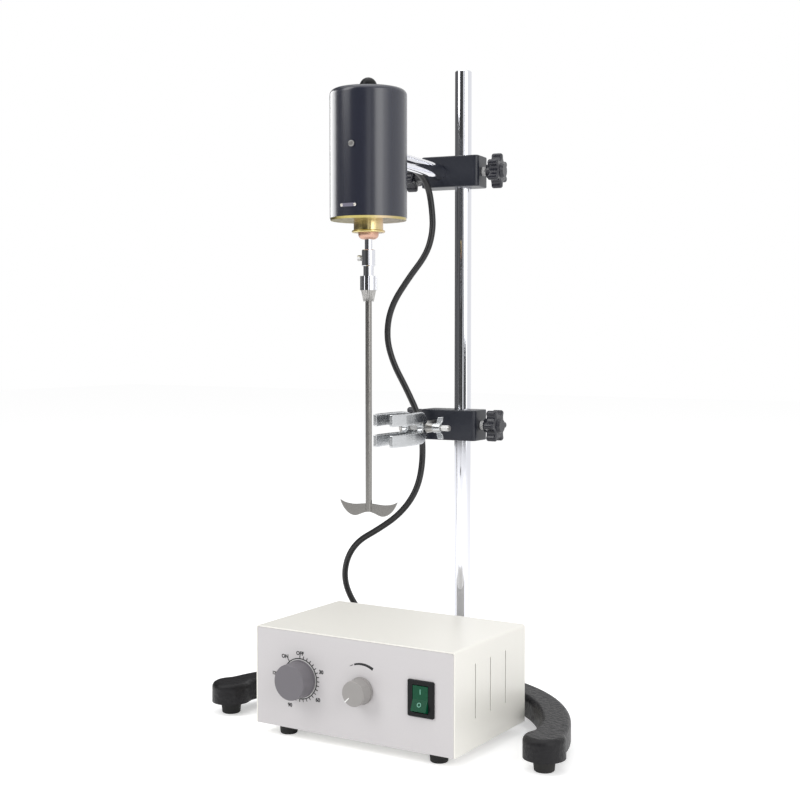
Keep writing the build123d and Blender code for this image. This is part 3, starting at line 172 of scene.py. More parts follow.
def finish(name, colour, metallic=0.0, roughness=0.4, size=1.0, stretch=(1, 1, 1), spread=0.06,
           rough_spread=0.08, bump=0.02, second=None, second_share=0.5, detail=3.0, **extra):
    """Make a material whose colour, roughness and relief vary with one grain.

    The colour is a hex value or a tint, and size is the grain's real width in millimetres. Second is
    a hex value that clouds about 45 mm wide blend in.
    """
    material = bpy.data.materials.get(name)
    if material:
        return material
    material = bpy.data.materials.new(name)
    material.use_nodes = True
    tree = material.node_tree
    tree.nodes.clear()
    place = add_node(tree, "ShaderNodeTexCoord").outputs["Object"]
    scale = [factor / (size * MM) for factor in stretch]
    grid = add_node(tree, "ShaderNodeMapping", {"Vector": place}, {"Scale": scale}).outputs[0]
    grain = add_node(tree, "ShaderNodeTexNoise", {"Vector": grid},
                     {"Scale": 1.0, "Detail": detail}).outputs[0]
    base = linear(colour) if isinstance(colour, str) else colour
    low = [c * (1 - spread) for c in base[:3]] + [1]
    high = [min(c * (1 + spread), 1) for c in base[:3]] + [1]
    shade = add_node(tree, "ShaderNodeMix", {"Factor": grain}, {"A": low, "B": high},
                     data_type="RGBA").outputs["Result"]
    if second:
        cloud = add_node(tree, "ShaderNodeTexNoise", {"Vector": place},
                         {"Scale": CLOUDS_PER_METRE, "Detail": 2.0}).outputs[0]
        ramp = add_node(tree, "ShaderNodeMapRange", {"Value": cloud},
                        {"From Min": second_share - CLOUD_EDGE, "From Max": second_share + CLOUD_EDGE})
        shade = add_node(tree, "ShaderNodeMix", {"Factor": ramp.outputs[0], "A": shade},
                         {"B": linear(second)}, data_type="RGBA").outputs["Result"]
    polish = add_node(tree, "ShaderNodeMapRange", {"Value": grain},
                      {"To Min": max(roughness - rough_spread, 0.02),
                       "To Max": min(roughness + rough_spread, 1.0)})
    relief = add_node(tree, "ShaderNodeBump", {"Height": grain}, {"Strength": 1.0, "Distance": bump * MM})
    links = {"Base Color": shade, "Roughness": polish.outputs[0], "Normal": relief.outputs[0]}
    shader = add_node(tree, "ShaderNodeBsdfPrincipled", links, {"Metallic": metallic, **extra})
    add_node(tree, "ShaderNodeOutputMaterial", {"Surface": shader.outputs[0]})
    return material


def cast_iron_enamel():
    """Black stove enamel brushed on rough cast iron: lumpy sand-cast skin, half-gloss on the lumps.

    Sand grains under the enamel are about 0.5 mm and are drawn 3.4 mm wide, so that they show.
    """
    return finish("black_enamel_on_cast_iron", tint("base"), roughness=0.44, size=3.4, spread=0.35,
                  rough_spread=0.16, bump=0.8, detail=4.0, **{"Specular IOR Level": 0.3})


def chrome_plate():
    """Bright chromium on ground steel: a near mirror with faint drawing lines.

    The lines run along the rod. They are a few hundredths of a millimetre apart, drawn 1.2 mm apart.
    """
    return finish("chromium_plated_steel", "#dfe0e6", metallic=1.0, roughness=0.07, size=1.2,
                  stretch=(1, 1, 0.03), spread=0.03, rough_spread=0.03, bump=0.0002)


def drawn_stainless():
    """Drawn stainless rod and sheet: grey, with fine lines along it and a soft sheen.

    The lines are drawn 0.6 mm apart, coarser than real drawing marks, so that they show.
    """
    return finish("drawn_stainless_steel", "#8d8b88", metallic=1.0, roughness=0.3, size=0.6,
                  stretch=(1, 1, 0.05), spread=0.12, rough_spread=0.1, bump=0.01)


def turned_steel():
    """Machine-turned steel fasteners: plain grey with a little tool grain."""
    return finish("turned_steel", "#a9a8a6", metallic=1.0, roughness=0.3, size=0.5, spread=0.1,
                  bump=0.01)


def stoved_enamel():
    """Dark blue-black gloss stove enamel on a drawn steel can: slight orange peel."""
    return finish("gloss_stove_enamel", tint("can"), roughness=0.26, size=2.6, spread=0.03,
                  rough_spread=0.02, bump=0.0015, **{"Coat Weight": 0.3, "Coat Roughness": 0.2})


def block_enamel():
    """Satin black enamel on machined blocks: edges catch the light, faces have a fine peel."""
    return finish("satin_black_enamel", tint("blocks"), roughness=0.36, size=1.1, spread=0.12, bump=0.02)


def phenolic():
    """Moulded black phenolic: deep gloss with soft flow marks."""
    return finish("moulded_phenolic", tint("star_knobs"), roughness=0.27, size=3.0, spread=0.15, bump=0.01)


def zinc_passivate():
    """Yellow-passivated zinc plate: pale straw gold with faint pink clouds."""
    return finish("yellow_passivated_zinc", "#b9ab6a", metallic=1.0, roughness=0.2, size=4.0,
                  second="#c8b3a2", second_share=0.55, spread=0.1, bump=0.004)


def boss_passivate():
    """Heavier yellow passivation on the turned boss: olive gold, clouded with pink."""
    return finish("yellow_passivated_boss", "#cfc084", metallic=1.0, roughness=0.24, size=4.0,
                  second="#d6b8a2", second_share=0.52, spread=0.12, bump=0.004)


def nickel_plate():
    """Nickel plate: warm, bright silver."""
    return finish("nickel_plate", "#dcd8d0", metallic=1.0, roughness=0.16, size=1.0, spread=0.04,
                  bump=0.004)


def sintered_bronze():
    """Sintered bronze bush: matte copper colour with fine pores."""
    return finish("sintered_bronze", "#c9a390", metallic=1.0, roughness=0.4, size=0.35, spread=0.2,
                  bump=0.03)


def cast_aluminium():
    """Die-cast aluminium, tumbled: bright grey, slightly wavy skin."""
    return finish("tumbled_cast_aluminium", "#c6c8ca", metallic=1.0, roughness=0.25, size=2.4,
                  spread=0.08, rough_spread=0.08, bump=0.05)


def cream_enamel():
    """Cream oven-baked enamel on folded sheet: smooth, low peel."""
    return finish("cream_baked_enamel", tint("cover"), roughness=0.36, size=1.4, spread=0.012, bump=0.012)


def grey_enamel():
    """Light warm-grey baked enamel on the front plate."""
    return finish("grey_baked_enamel", tint("panel"), roughness=0.4, size=1.4, spread=0.012, bump=0.012)


def knob_plastic(name, colour):
    """Matte moulded ABS: even grain from an etched mould, drawn 0.5 mm wide so that it shows."""
    return finish(name, colour, roughness=0.5, size=0.5, spread=0.07, bump=0.012)


def black_abs():
    """Black moulded ABS: smooth and dark, with a low gloss."""
    return finish("black_moulded_abs", "#0f1112", roughness=0.36, size=0.5, spread=0.1, bump=0.012,
                  **{"Specular IOR Level": 0.2})


def black_rubber():
    """Moulded rubber feet: dull black with dusty patches."""
    return finish("moulded_rubber", "#1d1d1d", roughness=0.78, size=0.8, second="#2c2b2a",
                  second_share=0.6, spread=0.15, bump=0.03)


def cord_sheath():
    """Soft PVC sheath: black, lightly glossy, faint extrusion ripple."""
    return finish("pvc_cord_sheath", "#141416", roughness=0.38, size=1.2, spread=0.1, bump=0.02)


def green_lens():
    """Green polycarbonate rocker: deep bottle green under a smooth moulded skin."""
    return finish("green_polycarbonate", tint("rocker"), roughness=0.3, size=3.0, spread=0.1, bump=0.004,
                  **{"Specular IOR Level": 0.2})


def laminations():
    """Stacked electrical steel: thin dark lines across the stack."""
    return finish("stacked_electrical_steel", "#6b6a69", metallic=1.0, roughness=0.45, size=0.5,
                  stretch=(0.1, 0.1, 1), spread=0.35, bump=0.05)


def board_laminate():
    """Glass-fibre board with green resist: smooth, half-gloss."""
    return finish("glass_fibre_board", "#1e5a2c", roughness=0.35, size=1.0, spread=0.15, bump=0.01)


def ink(name, colour):
    """Screen-printing ink: flat colour, slightly rough, a faint woven edge."""
    return finish(name, colour, roughness=0.5, size=0.3, spread=0.06, bump=0.004)


# ---------------------------------------------------------------------------------------------
# Mesh helpers
# ---------------------------------------------------------------------------------------------
def paint(material, *names):
    """Give CAD nodes a finish."""
    for name in names:
        mesh = NODES[name].data
        mesh.materials.clear()
        mesh.materials.append(material)


def piece(name, mesh, material, body):
    """Make an object of a mesh that is already in place, with its finish and body."""
    obj = bpy.data.objects.new(name, mesh)
    bpy.context.scene.collection.objects.link(obj)
    mesh.materials.clear()
    mesh.materials.append(material)
    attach(obj, body)
    return obj


def mesh_of(name, build, smooth=True):
    """Make a mesh from a bmesh that a function fills, with doubles merged and faces outward."""
    work = bmesh.new()
    build(work)
    bmesh.ops.remove_doubles(work, verts=work.verts, dist=1e-6)
    bmesh.ops.recalc_face_normals(work, faces=work.faces)
    mesh = bpy.data.meshes.new(name)
    work.to_mesh(mesh)
    work.free()
    mesh.shade_smooth() if smooth else mesh.shade_flat()
    return mesh


def baked(obj):
    """Return the evaluated mesh of an object and remove the object."""
    graph = bpy.context.evaluated_depsgraph_get()
    mesh = bpy.data.meshes.new_from_object(obj.evaluated_get(graph))
    bpy.data.objects.remove(obj)
    return mesh


def softened(node, name, voxel, passes, factor=0.5):
    """Return a copy of a CAD node's mesh with its edges rounded off, as a casting's are."""
    mesh = NODES[node].data.copy()
    mesh.name = name
    work = bmesh.new()
    work.from_mesh(mesh)
    bmesh.ops.remove_doubles(work, verts=work.verts, dist=1e-6)
    work.to_mesh(mesh)
    work.free()
    obj = bpy.data.objects.new(name, mesh)
    bpy.context.scene.collection.objects.link(obj)
    remesh = obj.modifiers.new("cast", "REMESH")
    remesh.mode = "VOXEL"
    remesh.voxel_size = voxel * MM
    remesh.use_smooth_shade = True
    smooth = obj.modifiers.new("tumble", "SMOOTH")
    smooth.iterations = passes
    smooth.factor = factor
    return baked(obj)


def text_mesh(name, words, size, centre, depth=0.12):
    """Return flat lettering on the front panel, as a mesh centred on a point in millimetres."""
    curve = bpy.data.curves.new(name, "FONT")
    curve.body = words
    curve.size = size * MM
    curve.align_x = "CENTER"
    curve.align_y = "CENTER"
    curve.extrude = depth / 2 * MM
    curve.offset = 0.2 * MM
    curve.resolution_u = 4
    obj = bpy.data.objects.new(name, curve)
    bpy.context.scene.collection.objects.link(obj)
    mesh = baked(obj)
    mesh.transform(Matrix.Translation(Vector(centre) * MM) @ Matrix.Rotation(pi / 2, 4, "X"))
    return mesh


def join_meshes(name, meshes):
    """Return one mesh made of several."""
    work = bmesh.new()
    for mesh in meshes:
        work.from_mesh(mesh)
    joined = bpy.data.meshes.new(name)
    work.to_mesh(joined)
    work.free()
    return joined


def ring_sector(work, centre, inner, outer, start, end, depth, steps=64, taper=1.0):
    """Add a flat ring or arc that stands a little off the front panel; taper thins its end."""
    closed = abs(end - start) >= 2 * pi - 1e-6
    rows = []
    for i in range(steps + (0 if closed else 1)):
        share = i / steps
        angle = start + (end - start) * share
        middle, half = (inner + outer) / 2, (outer - inner) / 2
        half *= 1 + (taper - 1) * share
        row = []
        for radius, lift in ((middle - half, 0), (middle + half, 0),
                             (middle + half, -depth), (middle - half, -depth)):
            x = centre[0] + radius * cos(angle)
            z = centre[2] + radius * sin(angle)
            row.append(work.verts.new((x * MM, (centre[1] + lift) * MM, z * MM)))
        rows.append(row)
    pairs = list(zip(rows, rows[1:] + rows[:1])) if closed else list(zip(rows, rows[1:]))
    for a, b in pairs:
        for i in range(4):
            j = (i + 1) % 4
            work.faces.new((a[i], a[j], b[j], b[i]))
    if not closed:
        work.faces.new(rows[0])
        work.faces.new(rows[-1][::-1])


def prism(work, centre, size, turn=0.0):
    """Add a small box on the front panel, turned about the panel's normal, sizes in millimetres."""
    spin = Matrix.Rotation(-turn, 4, "Y")
    made = bmesh.ops.create_cube(work, size=1.0)["verts"]
    for vert in made:
        co = Vector((vert.co.x * size[0], vert.co.y * size[1], vert.co.z * size[2]))
        vert.co = (spin @ co + Vector(centre)) * MM


# ---------------------------------------------------------------------------------------------
# Geometry Nodes
# ---------------------------------------------------------------------------------------------
def node_group(name, sockets):
    """Start a geometry tree with named number inputs and a geometry output."""
    tree = bpy.data.node_groups.new(name, "GeometryNodeTree")
    for label, kind in sockets:
        tree.interface.new_socket(label, in_out="INPUT", socket_type=kind)
    tree.interface.new_socket("Geometry", in_out="OUTPUT", socket_type="NodeSocketGeometry")
    return tree, tree.nodes.new("NodeGroupInput")


def run_tree(tree, values, name):
    """Run a geometry tree with its inputs set by identifier, and return the plain mesh."""
    obj = bpy.data.objects.new(name, bpy.data.meshes.new(name))
    bpy.context.scene.collection.objects.link(obj)
    modifier = obj.modifiers.new(name, "NODES")
    modifier.node_group = tree
    for item in tree.interface.items_tree:
        if item.item_type == "SOCKET" and item.in_out == "INPUT":
            modifier[item.identifier] = values[item.name]
    return baked(obj)


def close_tree(tree, geometry, material):
    """End a geometry tree: real geometry, finish, output."""
    real = add_node(tree, "GeometryNodeRealizeInstances", {"Geometry": geometry})
    done = add_node(tree, "GeometryNodeSetMaterial", {"Geometry": real.outputs[0]}, {"Material": material})
    add_node(tree, "NodeGroupOutput", {"Geometry": done.outputs[0]})


def tick_tree(material):
    """Tick marks round a dial: boxes at even angles on a circle."""
    tree, start = node_group("dial_ticks", [
        ("Count", "NodeSocketInt"), ("Radius", "NodeSocketFloat"), ("First Angle", "NodeSocketFloat"),
        ("Step", "NodeSocketFloat"), ("Length", "NodeSocketFloat"), ("Width", "NodeSocketFloat"),
        ("Depth", "NodeSocketFloat")])
    inp = start.outputs
    points = add_node(tree, "GeometryNodePoints", {"Count": inp["Count"]})
    index = add_node(tree, "GeometryNodeInputIndex")
    turn = add_node(tree, "ShaderNodeMath", {0: index.outputs[0], 1: inp["Step"], 2: inp["First Angle"]},
                    operation="MULTIPLY_ADD")
    across = add_node(tree, "ShaderNodeMath", {0: turn.outputs[0]}, operation="COSINE")
    up = add_node(tree, "ShaderNodeMath", {0: turn.outputs[0]}, operation="SINE")
    x = add_node(tree, "ShaderNodeMath", {0: across.outputs[0], 1: inp["Radius"]}, operation="MULTIPLY")
    z = add_node(tree, "ShaderNodeMath", {0: up.outputs[0], 1: inp["Radius"]}, operation="MULTIPLY")
    spot = add_node(tree, "ShaderNodeCombineXYZ", {"X": x.outputs[0], "Z": z.outputs[0]})
    placed = add_node(tree, "GeometryNodeSetPosition",
                      {"Geometry": points.outputs[0], "Position": spot.outputs[0]})
    size = add_node(tree, "ShaderNodeCombineXYZ",
                    {"X": inp["Length"], "Y": inp["Depth"], "Z": inp["Width"]})
    bar = add_node(tree, "GeometryNodeMeshCube", {"Size": size.outputs[0]})
    back = add_node(tree, "ShaderNodeMath", {0: turn.outputs[0]}, {1: -1.0}, operation="MULTIPLY")
    spin = add_node(tree, "ShaderNodeCombineXYZ", {"Y": back.outputs[0]})
    stamped = add_node(tree, "GeometryNodeInstanceOnPoints",
                       {"Points": placed.outputs[0], "Instance": bar.outputs[0],
                        "Rotation": spin.outputs[0]})
    close_tree(tree, stamped.outputs[0], material)
    return tree


def thread_tree(material):
    """A screw thread drawn as even rings along +Z: each ring is a flat cone pair."""
    tree, start = node_group("thread_rings", [
        ("Count", "NodeSocketInt"), ("Pitch", "NodeSocketFloat"), ("Radius", "NodeSocketFloat"),
        ("Depth", "NodeSocketFloat")])
    inp = start.outputs
    line = add_node(tree, "GeometryNodePoints", {"Count": inp["Count"]})
    index = add_node(tree, "GeometryNodeInputIndex")
    rise = add_node(tree, "ShaderNodeMath", {0: index.outputs[0], 1: inp["Pitch"]}, operation="MULTIPLY")
    spot = add_node(tree, "ShaderNodeCombineXYZ", {"Z": rise.outputs[0]})
    placed = add_node(tree, "GeometryNodeSetPosition",
                      {"Geometry": line.outputs[0], "Position": spot.outputs[0]})
    half = add_node(tree, "ShaderNodeMath", {0: inp["Pitch"]}, {1: 0.5}, operation="MULTIPLY")
    crest = add_node(tree, "ShaderNodeMath", {0: inp["Radius"], 1: inp["Depth"]}, operation="ADD")
    low, high = (add_node(tree, "GeometryNodeMeshCone",
                          {"Radius Top": top, "Radius Bottom": bottom, "Depth": half.outputs[0]},
                          {"Vertices": 32})
                 for top, bottom in ((crest.outputs[0], inp["Radius"]), (inp["Radius"], crest.outputs[0])))
    step = add_node(tree, "ShaderNodeCombineXYZ", {"Z": half.outputs[0]})
    lifted = add_node(tree, "GeometryNodeTransform",
                      {"Geometry": high.outputs[0], "Translation": step.outputs[0]})
    both = add_node(tree, "GeometryNodeJoinGeometry")
    tree.links.new(low.outputs[0], both.inputs[0])
    tree.links.new(lifted.outputs[0], both.inputs[0])
    merged = add_node(tree, "GeometryNodeMergeByDistance", {"Geometry": both.outputs[0]},
                      {"Distance": 1e-6})
    stamped = add_node(tree, "GeometryNodeInstanceOnPoints",
                       {"Points": placed.outputs[0], "Instance": merged.outputs[0]})
    close_tree(tree, stamped.outputs[0], material)
    return tree


def thread(tree, name, start, direction, length, pitch, radius, depth, body):
    """Put thread rings on a screw from a start point along a direction, in millimetres."""
    mesh = run_tree(tree, {"Count": int(length / pitch), "Pitch": pitch * MM, "Radius": radius * MM,
                           "Depth": depth * MM}, name)
    turn = Vector(direction).to_track_quat("Z", "Y").to_matrix().to_4x4()
    mesh.transform(Matrix.Translation(Vector(start) * MM) @ turn)
    mesh.shade_smooth()
    mesh.set_sharp_from_angle(angle=radians(20))
    return piece(name, mesh, mesh.materials[0], body)


# ---------------------------------------------------------------------------------------------
# Settings
# ---------------------------------------------------------------------------------------------
class StirrerSizes(bpy.types.PropertyGroup):
    """Sizes of the fine detail."""

    tick_count: bpy.props.IntProperty(
        name="Tick count", description="Marks round the timer", default=25, min=2)
    tick_step: bpy.props.FloatProperty(
        name="Tick step", description="Angle from one mark to the next",
        default=radians(-11.37), subtype="ANGLE")
    tick_length: bpy.props.FloatProperty(
        name="Tick length", description="Length of a timer mark",
        default=2.4 * MM, unit="LENGTH", precision=5)
    print_depth: bpy.props.FloatProperty(
        name="Print depth", description="Height of the printing",
        default=0.1 * MM, unit="LENGTH", precision=5)
    thread_pitch: bpy.props.FloatProperty(
        name="Thread pitch", description="Pitch of the clamping screws",
        default=0.8 * MM, unit="LENGTH", precision=5)
    cord_sides: bpy.props.IntProperty(
        name="Cord sides", description="Sides of the cord's tube", default=20, min=8)


def colour_setting(name, description, hex_colour):
    """Return a colour property whose default is a hex value."""
    return bpy.props.FloatVectorProperty(name=name, description=description, subtype="COLOR",
                                         default=linear(hex_colour)[:3], min=0.0, max=1.0)


class StirrerColours(bpy.types.PropertyGroup):
    """Colours of the finishes."""

    base: colour_setting("Base", "Enamel on the cast base", "#141316")
    can: colour_setting("Can", "Enamel on the motor's can", "#22242f")
    blocks: colour_setting("Blocks", "Enamel on the clamp blocks", "#1d202a")
    star_knobs: colour_setting("Star knobs", "Phenolic of the star knobs", "#1e1f27")
    cover: colour_setting("Cover", "Enamel on the box's cover and chassis", "#f1efe8")
    panel: colour_setting("Panel", "Enamel on the front panel", "#ccc9ca")
    timer_knob: colour_setting("Timer knob", "Plastic of the timer's knob", "#6e6b70")
    speed_knob: colour_setting("Speed knob", "Plastic of the speed knob", "#989593")
    rocker: colour_setting("Rocker", "Lens of the mains switch", "#04482f")


class StirrerStage(bpy.types.PropertyGroup):
    """Camera and light."""

    camera_place: bpy.props.FloatVectorProperty(
        name="Camera place", description="Where the camera stands",
        default=(0.6333, -1.1425, 0.3583), subtype="TRANSLATION")
    camera_turn: bpy.props.FloatProperty(
        name="Camera turn", description="Turn of the view about the vertical",
        default=radians(31.676), subtype="ANGLE")
    camera_pitch: bpy.props.FloatProperty(
        name="Camera pitch", description="How far the view looks down",
        default=radians(2.827), subtype="ANGLE")
    focal_share: bpy.props.FloatProperty(
        name="Focal length", description="Focal length over picture width", default=1343.2 / 800)
    lamp_power: bpy.props.FloatProperty(
        name="Lamp power", description="Power of the key lamp in watts", default=16.0, min=0.0)
    sky_level: bpy.props.FloatProperty(
        name="Sky level", description="Brightness of the even light", default=0.62, min=0.0)


# ---------------------------------------------------------------------------------------------
# Operators: one for each group of pieces
# ---------------------------------------------------------------------------------------------
class StirrerCord(bpy.types.Operator):
    """The motor's cord, from inside the can down to the gland of the box"""

    bl_idname = "stirrer.cord"
    bl_label = "Motor cord"

    def execute(self, context):
        sizes = context.scene.stirrer_sizes
        curve = bpy.data.curves.new("cord_route", "CURVE")
        curve.dimensions = "3D"
        spline = curve.splines.new("NURBS")
        spline.points.add(len(CORD_ROUTE) - 1)
        for point, place in zip(spline.points, CORD_ROUTE):
            point.co = (*(Vector(place) * MM), 1.0)
        spline.order_u = 3
        spline.use_endpoint_u = True
        spline.resolution_u = 12
        route = bpy.data.objects.new("cord_route", curve)
        context.scene.collection.objects.link(route)
        line = [vert.co.copy() for vert in baked(route).vertices]

        sides = sizes.cord_sides
        radius = CORD_RADIUS * MM

        def tube(work):
            across = Vector((1, 0, 0))
            rows = []
            for i, place in enumerate(line):
                along = (line[min(i + 1, len(line) - 1)] - line[max(i - 1, 0)]).normalized()
                across = (across - along * across.dot(along)).normalized()
                other = along.cross(across)
                row = []
                for k in range(sides):
                    angle = 2 * pi * k / sides
                    row.append(work.verts.new(place + (across * cos(angle) + other * sin(angle)) * radius))
                rows.append(row)
            for a, b in zip(rows, rows[1:]):
                for k in range(sides):
                    j = (k + 1) % sides
                    work.faces.new((a[k], a[j], b[j], b[k]))
            work.faces.new(rows[0][::-1])
            work.faces.new(rows[-1])

        mesh = mesh_of("motor_cord_sheath", tube)
        mesh.set_sharp_from_angle(angle=radians(60))
        mesh.materials.append(cord_sheath())
        cord = bpy.data.objects.new("motor_cord_sheath", mesh)
        context.scene.collection.objects.link(cord)
        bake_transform(cord)
        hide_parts("motor_cord")
        return {"FINISHED"}


class StirrerStand(bpy.types.Operator):
    """The horseshoe base, its feet and the column"""

    bl_idname = "stirrer.stand"
    bl_label = "Stand"

    def execute(self, context):
        paint(cast_iron_enamel(), "base_casting")
        paint(black_rubber(), "base_feet", "box_feet")
        paint(chrome_plate(), "column")
        paint(turned_steel(), "column_set_screw")
        return {"FINISHED"}


class StirrerHeads(bpy.types.Operator):
    """The two clamp blocks, their star knobs and screws"""

    bl_idname = "stirrer.heads"
    bl_label = "Clamp heads"

    def execute(self, context):
        sizes = context.scene.stirrer_sizes
        paint(block_enamel(), "upper_clamp_block", "lower_clamp_block")
        paint(phenolic(), "upper_column_knob", "upper_arm_knob", "lower_column_knob", "lower_handle_knob")
        paint(turned_steel(), "upper_column_screw", "upper_arm_screw", "lower_column_screw",
              "lower_handle_screw")
        pitch = sizes.thread_pitch / MM
        thread_height = 0.3
        tree = thread_tree(nickel_plate())
        for head, column_screw, cross_screw in ((upper, "upper_column_screw", "upper_arm_screw"),
                                                (lower, "lower_column_screw", "lower_handle_screw")):
            across = head(1, 0, 0) - head(0, 0, 0)
            for node, start, along in ((column_screw, BLOCK_RIGHT, across),
                                       (cross_screw, -BLOCK_LEFT, -across)):
                thread(tree, node + "_thread", head(start, 0, 0) + along * thread_height, along,
                       STUD_SHOW - thread_height, pitch, STUD_RADIUS - 0.05, thread_height,
                       BODY_OF[node])
        return {"FINISHED"}


class StirrerMotor(bpy.types.Operator):
    """The motor's can, end plate, arm and boot"""

    bl_idname = "stirrer.motor"
    bl_label = "Motor"

    def execute(self, context):
        paint(stoved_enamel(), "motor_housing")
        paint(black_abs(), "housing_plug", "cord_boot", "brush_bridge")
        paint(zinc_passivate(), "end_plate")
        paint(boss_passivate(), "bearing_boss")
        paint(sintered_bronze(), "nose_bush", "commutator")
        paint(turned_steel(), "housing_screw", "arm_nut", "motor_bearings")
        paint(chrome_plate(), "motor_arm", "motor_shaft")
        paint(laminations(), "stator", "armature")
        place = motor_place()

        def on_can(x, lift):
            return -(CAN_RADIUS**2 - x**2) ** 0.5 - lift

        half_length, half_height, sunk, proud = 7.2, 1.45, -0.6, 0.15
        rivet_reach, rivet_radius = 6.4, 1.35

        def strip(work):
            steps = 10
            rows = []
            for i in range(steps + 1):
                x = SLOT.x + half_length * (2 * i / steps - 1)
                rows.append([work.verts.new((x, on_can(x, lift), SLOT.z + z))
                             for lift, z in ((sunk, -half_height), (proud, -half_height),
                                             (proud, half_height), (sunk, half_height))])
            for a, b in zip(rows, rows[1:]):
                for k in range(4):
                    work.faces.new((a[k], a[k - 1], b[k - 1], b[k]))
            work.faces.new(rows[0])
            work.faces.new(rows[-1][::-1])

        def rivets(work):
            for x in (SLOT.x - rivet_reach, SLOT.x + rivet_reach):
                made = bmesh.ops.create_uvsphere(work, u_segments=20, v_segments=12,
                                                 radius=rivet_radius)["verts"]
                for vert in made:
                    vert.co = Vector((vert.co.x + x, vert.co.y * 0.6 + on_can(x, 0.1), vert.co.z + SLOT.z))

        for name, build, material, slot in (
            ("slot_cover_strip", strip, knob_plastic("grey_slot_strip", "#6c6979"), "steel"),
            ("slot_cover_rivets", rivets, nickel_plate(), "nickel"),
        ):
            mesh = mesh_of(name, build)
            mesh.transform(place)
            mesh.set_sharp_from_angle(angle=radians(35))
            piece(name, mesh, material, "motor")
        return {"FINISHED"}


class StirrerSpindle(bpy.types.Operator):
    """The coupling, chuck, rod and paddle"""

    bl_idname = "stirrer.spindle"
    bl_label = "Spindle"

    def execute(self, context):
        paint(chrome_plate(), "coupling_sleeve", "chuck_body")
        paint(turned_steel(), "coupling_screw", "chuck_jaws", "chuck_nut")
        paint(drawn_stainless(), "stirring_rod", "paddle")
        return {"FINISHED"}


class StirrerFlaskClamp(bpy.types.Operator):
    """The flask clamp: handle, cast jaws, screw and wing nut"""

    bl_idname = "stirrer.flask_clamp"
    bl_label = "Flask clamp"

    def execute(self, context):
        metal = cast_aluminium()
        for node in ("right_jaw", "left_jaw"):
            mesh = softened(node, node + "_casting", 0.45, 14)
            jaw = piece(node + "_casting", mesh, metal, BODY_OF[node])
            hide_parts(node)
        mesh = softened("wing_nut", "wing_nut_casting", 0.25, 8)
        wing = piece("wing_nut_casting", mesh, metal, BODY_OF["wing_nut"])
        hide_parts("wing_nut")
        paint(turned_steel(), "clamp_screw", "jaw_pin", "clamp_handle")
        pitch = context.scene.stirrer_sizes.thread_pitch / MM
        tree = thread_tree(turned_steel())
        along = lower(1, 0, 0) - lower(0, 0, 0)
        for name, offset, length in (("clamp_screw_thread", -12.0, 24.0),
                                     ("clamp_screw_end_thread", 28.5, 6.5)):
            start = lower(CLAMP_SCREW.x + offset, CLAMP_SCREW.y, CLAMP_SCREW.z)
            thread(tree, name, start, along, length, pitch, CLAMP_SCREW_RADIUS - 0.05, 0.3,
                   "wing_screw")
        return {"FINISHED"}


